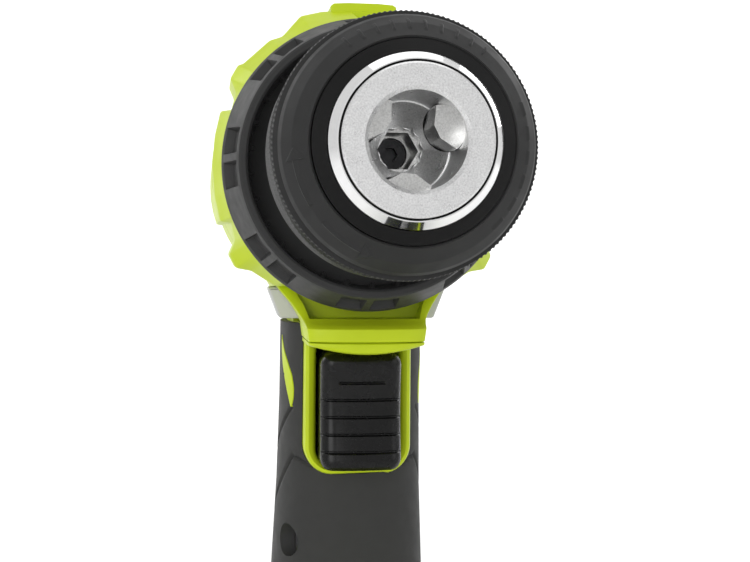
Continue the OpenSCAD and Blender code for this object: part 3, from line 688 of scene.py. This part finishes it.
def top_block():
    """The raised block on top that holds the speed selector."""
    outline = rectangle(14.4, 45, 2, (0, FLANGE_Y + 46.5), 5)
    levels = [(AXIS_Z + 20, 0), (AXIS_Z + 34.6, 0), (AXIS_Z + 35.3, 0.3), (AXIS_Z + 35.7, 1.0)]
    return loft("top_block", [[(x, y, d) for x, y in inset(outline, i)] for d, i in levels])


def spine():
    """The low ridge that carries the block's lines back along the barrel."""
    front, back = FLANGE_Y + 60, FLANGE_Y + 99
    outline = rounded([(-6.2, front), (6.2, front), (3.6, back), (-3.6, back)], 2, 4)
    levels = [(AXIS_Z + 26, 0), (AXIS_Z + 31.4, 0), (AXIS_Z + 32, 0.7)]
    return loft("spine", [[(x, y, d) for x, y in inset(outline, i)] for d, i in levels])


def neck_core():
    """The shoulder between the barrel and the handle, behind the grips."""
    sections = []
    for z, half, front, back in ((-20, 21, -25, -72), (-27, 17.6, -25, -60), (-31, 15.4, -25, -54),
                                 (-35, 14.2, -25, -50), (-46, 14, -25, -47)):
        y0, y1 = FLANGE_Y - front, FLANGE_Y - back
        outline = rectangle(2 * half, y1 - y0, 6, (0, (y0 + y1) / 2), 6)
        sections.append([(x, y, AXIS_Z + z) for x, y in outline])
    return loft("neck_core", sections)


def barrel_lug(x, z):
    """The tapered lug on the barrel that takes a front housing screw, behind its boss."""
    return loft("lug", [[at(x + r * math.cos(q), t, z + r * math.sin(q)) for q in full_turn(40)]
                        for t, r in ((BARREL_FRONT, 3.2), (-28.2, 3.2), (-29.2, 2.9), (-32, 1.2))])


def barrel_cuts():
    """The room for motor and gears, the two selectors' slots and the side vents."""
    y, z = FLANGE_Y, AXIS_Z
    cuts = [
        lathe("bore", [(0, -110), (26.4, -110), (26.4, -10), (0, -10)], 120),
        selector_slot(),
        block((-6.4, y + 25, z + 31.2), (6.4, y + 47.4, z + 41.2)),
        block((-3, y + 31.2, z + 20), (3, y + 40.6, z + 34)),
    ]
    for n in range(6):
        for s in (-1, 1):
            outline = rectangle(1.6, 16, 0.79, (y + 83.75 + n * 3, z), 4)
            ends = (s * 22, s * 40)
            cuts.append(loft("vent", [[sideways(u, v, x) for u, v in outline] for x in ends]))
    return cuts


def handle_cuts():
    """The hollow handle, with room for the trigger and its switch, and the screw wells."""
    y, z = FLANGE_Y, AXIS_Z
    cuts = [
        handle_loft("hollow", -4.4, -6, -80),
        block((-12.1, y - 5, z - 68.4), (12.1, y + 23, z - 23.4)),
        block((-9.6, y + 20, z - 66.8), (9.6, y + 30, z - 39.8)),
    ]
    for dy, dz in SCREWS:
        cuts.append(rod((-30, GRIP_Y + dy, z + dz), (-8.4, GRIP_Y + dy, z + dz), 5.1, 40))
    return cuts


def foot_cuts():
    """The pack's rail slot, the work light's window and the belt clip's holes."""
    y = FLANGE_Y
    cuts = [
        block((-24, y - 12, FOOT_Z + 3.2), (24, y + 66, FOOT_Z + 12)),
        block((-21.3, y - 12, FOOT_Z - 1), (21.3, y + 66, FOOT_Z + 5)),
        block((-8.2, y - 12, FOOT_Z + 12.6), (8.2, y + 0.5, FOOT_Z + 17.6)),
    ]
    for s in (-1, 1):
        cuts.append(rod((s * 24, y + 40, FOOT_Z + 6.4), (s * 34, y + 40, FOOT_Z + 6.4), 3.1, 28))
    return cuts


def housing_halves():
    """Barrel, handle core and foot as one shell, split down the middle into two pieces."""
    shell = barrel()
    parts = [handle_loft("handle", -2.0, 2, -84), foot(), top_block(), spine(), neck_core()]
    combine(shell, parts + [barrel_lug(x, z) for x, z in BOSSES], "UNION")
    combine(shell, barrel_cuts() + handle_cuts() + foot_cuts(), "DIFFERENCE")
    for side, name in ((-1, "left"), (1, "right")):
        half = halved(shell, side, f"housing_{name}_skin")
        nodes = (f"housing_{name}", f"handle_{name}")
        piece(half, LOOK["housing_green"], "housing", "housing_green", *nodes, sharp=28)
    bpy.data.objects.remove(shell)


def rear_cap():
    """The domed cap behind the motor, with slots across it and small holes round its edge."""
    profile = [(0, -114.6), (18, -115), (20, -114.9), (23.5, -113.9), (26, -112.4), (28.2, -109.6),
               (29.8, -106), (30.5, -103.4), (30.7, -101.4), (30.4, -101.15), (26, -101.15), (26, -99.6),
               (24.4, -99.6), (24.4, -107), (18, -112.4), (0, -112.4)]
    cap = lathe("rear_cap_skin", profile, 180)
    cuts = []
    for n in range(-4, 5):
        half = math.sqrt(max(1, 15.5 ** 2 - (n * 3.4) ** 2))
        outline = rectangle(2 * half, 1.5, 0.74, (0, n * 3.4), 4)
        cuts.append(loft("slot", [[at(u, t, v) for u, v in outline] for t in (-120, -111)]))
    for n in range(24):
        q = math.radians(15 * n + 7.5)
        c, s = math.cos(q), math.sin(q)
        cuts.append(rod(at(29 * c, -103.2, 29 * s), at(33.2 * c, -107.2, 33.2 * s), 1.1, 16))
    combine(cap, cuts, "DIFFERENCE")
    piece(cap, LOOK["grip_rubber"], "housing", "grip_rubber", "rear_cap", sharp=30)


# ---------- grips ----------

def distance_to_path(u, v, path):
    """The distance from a point to the nearest stretch of an open path."""
    best = 1e9
    for (u0, v0), (u1, v1) in zip(path, path[1:]):
        du, dv = u1 - u0, v1 - v0
        k = min(1, max(0, ((u - u0) * du + (v - v0) * dv) / (du * du + dv * dv)))
        best = min(best, math.hypot(u - u0 - k * du, v - v0 - k * dv))
    return best


# Grooves between the grip's panels, as (y, z) on each side in the handle's frame
GROOVES = [
    [(-15.6, -30.8), (-13.8, -30.0), (-11.6, -29.5), (-10.3, -31.2), (-8.8, -33.3), (-6.8, -35.9),
     (-3.9, -39.3), (-0.8, -42.4), (4, -48), (9, -56), (12.4, -66), (13, -82)],
    [(-10.7, -18.5), (-9, -20.4), (-7, -22.5), (-4.5, -25), (-1, -28.4), (4, -32.4), (10, -35.6),
     (19, -37)],
]


def grip_surface(point):
    """The grip's relief: grooves between its panels, and slanted ridges on the back."""
    x, y, z = point
    near = min(distance_to_path(y, z, path) for path in GROOVES)
    groove = 0.55 * (1 - ramp(near, 0.15, 0.55))
    ridge = 0.0
    if y > 8 and -74 < z < -42:
        wave = abs(((z + 0.35 * y) % 3.2) - 1.6)
        ends = ramp(z, -74, -71) * (1 - ramp(z, -45, -42))
        ridge = 0.38 * ramp(y, 8, 11) * (1 - ramp(wave, 0.35, 0.85)) * ends
    radius = math.hypot(x, y)
    k = (radius - (groove - ridge)) / radius
    return (x * k, y * k, z)


# The left inlay's leaf shape, as (y, z) in the handle's frame. The right one sits further back,
# and each has a small gap round it.
INLAY = [(-3.7, -2.4), (-5.9, -5.5), (-8.6, -8.2), (-10.7, -10.9), (-11.5, -13.9), (-11.4, -16.6),
         (-10.6, -18.9), (-9.2, -16.2), (-7.2, -12.8), (-5.2, -9.4), (-4.0, -6.2)]
RIGHT_INLAY_BACK = 2.6
INLAY_GAP = 0.12


def side_prism(outline, side, grow=0.0):
    """A prism through one side of the grip, with the outline in the handle's frame."""
    shape = inset(rounded(outline, 0.8, 3), -grow)
    return loft("window", [[on_handle(x, y, z) for y, z in shape] for x in (side * 6, side * 30)])


def add_screw_recess(skin, place):
    """A cup in the left grip for a housing screw, with an oval mouth and a hole for the shank."""
    y, z = place
    cup = rod((-30, y, z), (-8.5, y, z), 5, 48)
    combine(cup, [handle_loft("limit", -0.3, 8, -90, 1.5)], "INTERSECT")
    combine(skin, [cup], "UNION")
    oval = [(y + 0.2 + 3.05 * math.cos(q), z + 3.8 * math.sin(q)) for q in full_turn(48)]
    recess = loft("recess", [[sideways(u, v, x) for u, v in oval] for x in (-30, -9.4)])
    combine(skin, [recess, rod((-12, y, z), (-6, y, z), 1.6, 24)], "DIFFERENCE")


def grips():
    """The rubber skin of the handle, left and right, with a green inlay let into each."""
    skin = handle_loft("grip_all", 0, 2.2, -79, 0.42, grip_surface, 340)
    y, z = FLANGE_Y, AXIS_Z
    frame_hole = frame_outline(12.05, -67.35, 6.1, -10)
    cuts = [
        handle_loft("inner", -1.9, 8, -90),
        lathe("barrel_room", [(0, -110), (31, -110), (31, -10), (0, -10)], 120),
        loft("frame_room", [[at(u, t, v) for u, v in frame_hole] for t in (10, FRAME_BACK)]),
        block((-30, y, z - 34.1), (30, y + 40, z - 10)),
    ]
    combine(skin, cuts, "DIFFERENCE")
    for dy, dz in SCREWS:
        add_screw_recess(skin, (GRIP_Y + dy, z + dz))
    band = handle_loft("inlay_body", 0.12, 2, -60, 1.5)
    combine(band, [handle_loft("inner", -1.7, 8, -90, 1.5)], "DIFFERENCE")
    for side, name, back in ((-1, "left", 0), (1, "right", RIGHT_INLAY_BACK)):
        outline = [(v + back, z) for v, z in INLAY]
        inlay = copy_of(band, f"grip_inlay_{name}")
        combine(inlay, [side_prism(outline, side, -INLAY_GAP)], "INTERSECT")
        piece(inlay, LOOK["housing_green"], "housing", "housing_green")
        half = halved(skin, side, f"grip_{name}_skin", 0)
        combine(half, [side_prism(outline, side)], "DIFFERENCE")
        piece(half, LOOK["grip_rubber"], "housing", "grip_rubber", f"grip_{name}", sharp=40)
    bpy.data.objects.remove(skin)
    bpy.data.objects.remove(band)


# ---------- trigger and switches ----------

# The brow's back as T, its top from the axis, and half its width
BROW_BACK = -16.3
BROW_TOP = NECK_FLOOR - 0.15
BROW_HALF = 12.3


def brow_bottom(x):
    """The brow hangs lowest over the middle of the trigger."""
    return -37.8 - 1.75 * math.cos(math.radians(90 * x / BROW_HALF))


def frame_outline(half, bottom, radius, top, steps=9):
    """A straight-sided opening with round lower corners, whose lower edge bows down a little."""
    out = [(half, top), (-half, top)]
    for start, sx in ((180, -1), (270, 1)):
        for k in range(steps + 1):
            q = math.radians(start + 90 * k / steps)
            x = sx * (half - radius) + radius * math.cos(q)
            sag = 0.45 * math.cos(math.radians(90 * x / half)) if k and abs(x) < half else 0
            out.append((x, bottom + radius + radius * math.sin(q) - sag))
    return out


def brow():
    """The crescent over the trigger; its front is rounded off towards the bottom."""
    edge = bowed(BROW_HALF, 2.9, 1.8)
    rows = []
    for share, push in ((0, 0.35), (0.12, 0), (0.55, 0.05), (0.85, 0.5), (1, 1.5)):
        row = [at(x, t - push, BROW_TOP + share * (brow_bottom(x) - BROW_TOP)) for x, t in edge]
        right, left = row[-1][2] - AXIS_Z, row[0][2] - AXIS_Z
        rows.append(row + [at(BROW_HALF, BROW_BACK, right), at(-BROW_HALF, BROW_BACK, left)])
    return loft("brow", rows)


def trigger_frame():
    """The bright frame round the trigger, with the brow over it."""
    outer = frame_outline(11.9, -67.2, 6.0, -37.3)
    inner = frame_outline(9.25, -65.7, 3.9, -39.2)
    rings = []
    for edge, t, shrink in (
        (outer, FRAME_BACK, 0), (outer, -15.4, 0), (outer, -14.7, 0.3), (outer, -14.4, 0.95),
        (inner, -14.6, -0.85), (inner, -15.1, -0.3), (inner, -16, 0), (inner, FRAME_BACK, 0),
    ):
        rings.append([at(u, t, v) for u, v in inset(edge, shrink)])
    ring = loft("trigger_frame_skin", rings, closed=True)
    combine(ring, [brow()], "UNION")
    piece(ring, LOOK["housing_green"], "housing", "housing_green", "trigger_frame", sharp=30)


# The trigger's half width, its ends and back, the rounding of its ends, and its grooves
TRIGGER_HALF = 8.9
TRIGGER_TOP = AXIS_Z - 40.1
TRIGGER_BOTTOM = AXIS_Z - 65.5
TRIGGER_BACK = FLANGE_Y + 22.2
TRIGGER_EDGE = 2.8
GROOVE_Z = [TRIGGER_BOTTOM + 4.1 + 3.75 * n for n in range(5)]
GROOVE_STEPS = [-0.5, -0.36, -0.26, -0.16, -0.06, 0.06, 0.16, 0.26, 0.36, 0.5]


def trigger_levels():
    """Heights of the trigger's sections, close together at the grooves and the rounded ends."""
    levels = [TRIGGER_BOTTOM + 0.85 * k for k in range(31) if TRIGGER_BOTTOM + 0.85 * k < TRIGGER_TOP]
    levels += [end + turn * TRIGGER_EDGE * (1 - math.cos(math.radians(q)))
               for end, turn in ((TRIGGER_BOTTOM, 1), (TRIGGER_TOP, -1)) for q in range(0, 91, 10)]
    levels += [z + step for z in GROOVE_Z for step in GROOVE_STEPS]
    out = []
    for z in sorted(levels):
        if not out or z - out[-1] > 0.03:
            out.append(z)
    return out


def corner_arc(x, y, radius, start, end):
    """Points on a circle round (x, y) every ten degrees."""
    turns = [math.radians(q) for q in range(start, end + 1, 10)]
    return [(x + radius * math.cos(q), y + radius * math.sin(q)) for q in turns]


def trigger_ring(z):
    """One level section of the trigger: a rounded rectangle whose front edge carries the grooves."""
    f = (z - TRIGGER_BOTTOM) / (TRIGGER_TOP - TRIGGER_BOTTOM)
    end = min(1, min(z - TRIGGER_BOTTOM, TRIGGER_TOP - z) / TRIGGER_EDGE)
    round_in = TRIGGER_EDGE * (1 - math.sqrt(max(0, 1 - (1 - end) ** 2)))
    half = TRIGGER_HALF - 0.75 * round_in
    front = FLANGE_Y + 6.0 + 1.7 * (1 - (2 * f - 1.1) ** 2) + 0.9 * round_in
    corner = 3.2 - 0.75 * round_in
    flat = half - corner
    xs = [flat * (n / 30 - 1) for n in range(61)]
    ring = [(x, front - 0.5 * (1 - (x / flat) ** 2)) for x in xs]
    ring += corner_arc(flat, front + corner, corner, -80, 0)
    ring += [(half, TRIGGER_BACK - 1), (half - 1, TRIGGER_BACK)]
    ring += [(1 - half, TRIGGER_BACK), (-half, TRIGGER_BACK - 1)]
    ring += corner_arc(-flat, front + corner, corner, 180, 260)
    near = min(abs(z - g) for g in GROOVE_Z)
    deep = 0.5 * (1 - ramp(near, 0.1, 0.38))
    # The top groove is short; the others run round both sides
    short = z > GROOVE_Z[-1] - 1.5
    out = []
    for x, y in ring:
        reach = 1 - ramp(abs(x), 4.7, 5.3) if short else 1 - ramp(y - front, 1.2, 2.6)
        out.append((x, y + deep * reach, z))
    return out


def trigger():
    """The trigger with the stem that pushes the switch."""
    body = loft("trigger_skin", [trigger_ring(z) for z in trigger_levels()])
    stem = rod((0, FLANGE_Y + 21.5, AXIS_Z - 53), (0, FLANGE_Y + 31.5, AXIS_Z - 53), 2.4, 32)
    combine(body, [stem], "UNION")
    piece(body, LOOK["trigger_black"], "trigger", "trigger_black", "trigger", sharp=50)


def direction_selector():
    """The bar through the neck, with slanted ends that carry finger ridges."""
    half = 20
    outline = [(2.6 - half, -32.9), (half - 2.6, -32.9), (half, -26.1), (half - 1.2, -25.9),
               (1.2 - half, -25.9), (-half, -26.1)]
    bar = prism("direction_selector_skin", rounded(outline, 0.6, 3), -25, -17, 0.5, forward)
    cuts = []
    for s in (-1, 1):
        for n in range(3):
            y = FLANGE_Y + 19 + n * 2
            cuts.append(block((s * 18.8, y - 0.35, AXIS_Z - 31.5), (s * 22, y + 0.35, AXIS_Z - 27)))
    combine(bar, cuts, "DIFFERENCE")
    piece(bar, LOOK["selector_grey"], "direction_selector", "selector_grey", "direction_selector")


def speed_selector():
    """The sliding plate with four ribs, and the tongue that reaches down to the gears."""
    y, z = FLANGE_Y + 39, AXIS_Z
    plate = prism("speed_selector_skin", rectangle(12, 15, 2, (0, y), 5), z + 31.4, z + 33, 0.35, upward)
    parts = [prism("rib", rectangle(10, 1.6, 0.5, (0, y + k * 3), 3), z + 32.5, z + 34.5, 0.4, upward)
             for k in (-1.5, -0.5, 0.5, 1.5)]
    parts.append(block((-2.6, y - 1.4, z + 19.8), (2.6, y + 0.2, z + 31.8)))
    combine(plate, parts, "UNION")
    piece(plate, LOOK["black_plastic"], "speed_selector", "black_plastic", "speed_selector")


# ---------- battery pack ----------

PACK_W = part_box("pack_lower_case")[1].x / MM * 2
PACK_L = (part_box("pack_lower_case")[1].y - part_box("pack_lower_case")[0].y) / MM
PACK_TOP = FOOT_Z - 0.3
SPLIT_Z = 27
PACK_WALL = 2.4

# (height, inset) pairs of the two cases' outsides
LOWER_LEVELS = [
    (0, 4.2), (0.3, 3.7), (1.6, 1.6), (2.8, 0.6), (4.4, 0.1), (6, 0),
    (SPLIT_Z - 1.1, 0), (SPLIT_Z - 0.45, 0.45), (SPLIT_Z, 0.5)
]
UPPER_LEVELS = [
    (SPLIT_Z + 0.15, 0.5), (SPLIT_Z + 0.6, 0.45), (SPLIT_Z + 1.2, 0),
    (40, 0), (46.5, 0.9), (49.4, 2.2), (50.6, 3.4), (PACK_TOP, 4.6)
]


def pack_shell(name, levels):
    """The pack's rounded outline, drawn in at each height."""
    outline = rectangle(PACK_W, PACK_L, 9, (0, PACK_Y), 10)
    return loft(name, [[(x, y, z) for x, y in inset(outline, i)] for z, i in levels])


def side_recesses(z0, z1):
    """Slanted grooves in both sides, where fingers hold the pack."""
    cuts = []
    for s in (-1, 1):
        for n in range(9):
            y = PACK_Y - 26 + n * 6.5
            outline = rounded([(y - 1.9, z0), (y + 1.9, z0), (y + 2.9, z1), (y - 0.9, z1)], 1.1, 3)
            cuts.append(loft("scallop", [[sideways(u, v, x) for u, v in outline]
                                         for x in (s * (PACK_W / 2 - 0.9), s * (PACK_W / 2 + 3))]))
    return cuts


def pack_hollow(less, low, high):
    """The room inside the pack, less millimetres narrower than its walls leave."""
    outline = rectangle(PACK_W - 2 * PACK_WALL - less, PACK_L - 2 * PACK_WALL - less, 7, (0, PACK_Y), 8)
    return loft("hollow", [[(x, y, z) for x, y in outline] for z in (low, high)])


def pack_lower():
    """The lower case, open above, with screw wells in its bottom corners."""
    lower = pack_shell("pack_lower_skin", LOWER_LEVELS)
    cuts = [pack_hollow(0, PACK_WALL, SPLIT_Z + 5)] + side_recesses(11, 23)
    for x in (-1, 1):
        for y in (-1, 1):
            place = (x * 31, PACK_Y + y * (PACK_L / 2 - 5))
            cuts.append(rod((*place, -1), (*place, 9), 2.1, 28))
    combine(lower, cuts, "DIFFERENCE")
    piece(lower, LOOK["pack"], "pack", "black_plastic", "pack_lower_case")


def pack_upper():
    """The upper case, with the rails that slide into the foot and the slots over its contacts."""
    upper = pack_shell("pack_upper_skin", UPPER_LEVELS)
    stem = block((-20.9, PACK_Y - 44, PACK_TOP - 1), (20.9, PACK_Y + 22, PACK_TOP + 4))
    outline = rectangle(47.2, 66, 1.2, (0, PACK_Y - 11), 3)
    rails = prism("rails", outline, PACK_TOP + 3.8, PACK_TOP + 7.8, 0.5, upward)
    combine(upper, [stem, rails], "UNION")
    front = PACK_Y - PACK_L / 2
    cuts = [
        pack_hollow(3, 10, PACK_TOP - PACK_WALL),
        block((-18, PACK_Y - 30, PACK_TOP - 5), (18, PACK_Y + 18, PACK_TOP + 5)),
        block((-9.2, front - 1, PACK_TOP - 16.4), (9.2, front + 11, PACK_TOP + 8)),
    ]
    for x in (-12, -4, 4, 12):
        cuts.append(block((x - 1.2, PACK_Y + 8, PACK_TOP + 4.5), (x + 1.2, PACK_Y + 28, PACK_TOP + 9)))
    combine(upper, cuts + side_recesses(31, 43), "DIFFERENCE")
    piece(upper, LOOK["pack"], "pack", "black_plastic", "pack_upper_case")


def release_button():
    """The button in the pack's front, with finger grooves and the latch behind it."""
    front = PACK_Y - PACK_L / 2

    def facing(u, v, depth):
        return (u, front + 0.4 + depth, v)

    outline = rectangle(17.4, 11, 1.6, (0, PACK_TOP - 6), 4)
    face = prism("release_button_skin", outline, 0, 3.1, 0.5, facing)
    parts = [
        block((-8.6, front + 3.2, PACK_TOP - 9), (8.6, front + 7.6, PACK_TOP - 5)),
        block((-6, front + 6.6, PACK_TOP - 5.2), (6, front + 9.6, PACK_TOP - 0.2)),
    ]
    combine(face, parts, "UNION")
    heights = [PACK_TOP - drop for drop in (3.2, 5.1, 7, 8.9)]
    grooves = [rod((-6.6, front + 0.2, z), (6.6, front + 0.2, z), 0.55, 16) for z in heights]
    combine(face, grooves, "DIFFERENCE")
    piece(face, LOOK["selector_grey"], "release_button", "selector_grey", "release_button")


# ---------- studio, in metres ----------

FLOOR_HALF = 9
SWEEP_Y, SWEEP_R = 1.6, 0.8
SURROUND = 0.75

# The camera's place, its turn, tilt and roll in degrees, and its lens and sensor in millimetres
EYE = (-0.03396, -0.28218, 0.17239)
EYE_TURNS = (-7.92, -1.445, 0.38)
LENS, SENSOR = 59.02, 36

# name, place, width, power and what it lights
LAMPS = [
    ("key", (-0.75, -1.15, 0.42), 0.9, 5.5, (0, 0, AXIS_Z * MM)),
    ("fill", (1.1, -0.7, 0.55), 0.8, 1.4, (0, 0, AXIS_Z * MM)),
    ("top", (0.1, 0.25, 1.3), 1.2, 2.2, (0, 0, AXIS_Z * MM)),
    ("backdrop_left", (-1.2, 1.1, 1.0), 1.0, 14, (0, 2.2, 0.3)),
    ("backdrop_right", (1.2, 1.1, 1.0), 1.0, 14, (0, 2.2, 0.3)),
]


def pale_floor():
    """A pale floor that sweeps up into a pale backdrop."""
    turns = [math.radians(q) for q in range(10, 91, 10)]
    profile = [(-FLOOR_HALF, 0), (SWEEP_Y, 0)]
    profile += [(SWEEP_Y + SWEEP_R * math.sin(q), SWEEP_R * (1 - math.cos(q))) for q in turns]
    profile += [(SWEEP_Y + SWEEP_R, 9)]
    points = [(x / MM, y / MM, z / MM) for y, z in profile for x in (-FLOOR_HALF, FLOOR_HALF)]
    faces = [(2 * n, 2 * n + 1, 2 * n + 3, 2 * n + 2) for n in range(len(profile) - 1)]
    floor = make("floor", points, faces)
    finish = Finish("floor_paper")
    finish.colour(finish.noise(60, 2), (0.9, 0.9, 0.9), (0.94, 0.94, 0.94))
    finish.roughness(finish.noise(10, 2), 0.8, 0.9)
    floor.data.materials.append(finish.material)
    for polygon in floor.data.polygons:
        polygon.use_smooth = True


def lights():
    """An even white surround and soft light from large round panels."""
    world = bpy.data.worlds.new("studio")
    world.use_nodes = True
    background = world.node_tree.nodes["Background"]
    background.inputs["Color"].default_value = (1, 1, 1, 1)
    background.inputs["Strength"].default_value = SURROUND
    bpy.context.scene.world = world
    for name, place, size, power, target in LAMPS:
        light = bpy.data.lights.new(name, "AREA")
        light.shape = "DISK"
        light.size = size
        light.energy = power
        lamp = bpy.data.objects.new(name, light)
        lamp.location = place
        aim = Vector(target) - Vector(place)
        lamp.rotation_euler = aim.to_track_quat("-Z", "Y").to_euler()
        bpy.context.scene.collection.objects.link(lamp)


def camera():
    """Just left of the chuck's nose and a little below it, looking slightly right and down."""
    yaw, pitch, roll = (math.radians(degrees) for degrees in EYE_TURNS)
    right = Vector((math.cos(yaw), math.sin(yaw), 0))
    ahead = Vector((-math.sin(yaw) * math.cos(pitch), math.cos(yaw) * math.cos(pitch), math.sin(pitch)))
    up = right.cross(ahead)
    side = right * math.cos(roll) + up * math.sin(roll)
    top = up * math.cos(roll) - right * math.sin(roll)
    turn = Matrix((side, top, -ahead)).transposed().to_4x4()
    lens = bpy.data.cameras.new("camera")
    lens.sensor_width = SENSOR
    lens.lens = LENS
    lens.clip_start = 0.01
    eye = bpy.data.objects.new("camera", lens)
    eye.matrix_world = Matrix.Translation(EYE) @ turn
    bpy.context.scene.collection.objects.link(eye)
    bpy.context.scene.camera = eye


dress_cad()
chuck_sleeve()
# The dark ring of painted shade in the groove behind the nose
nose_groove_painted_shade()
torque_ring()
front_housing()
housing_halves()
rear_cap()
grips()
trigger_frame()
trigger()
direction_selector()
speed_selector()
pack_lower()
pack_upper()
release_button()
pale_floor()
lights()
camera()
bpy.context.scene.view_settings.view_transform = "Standard"
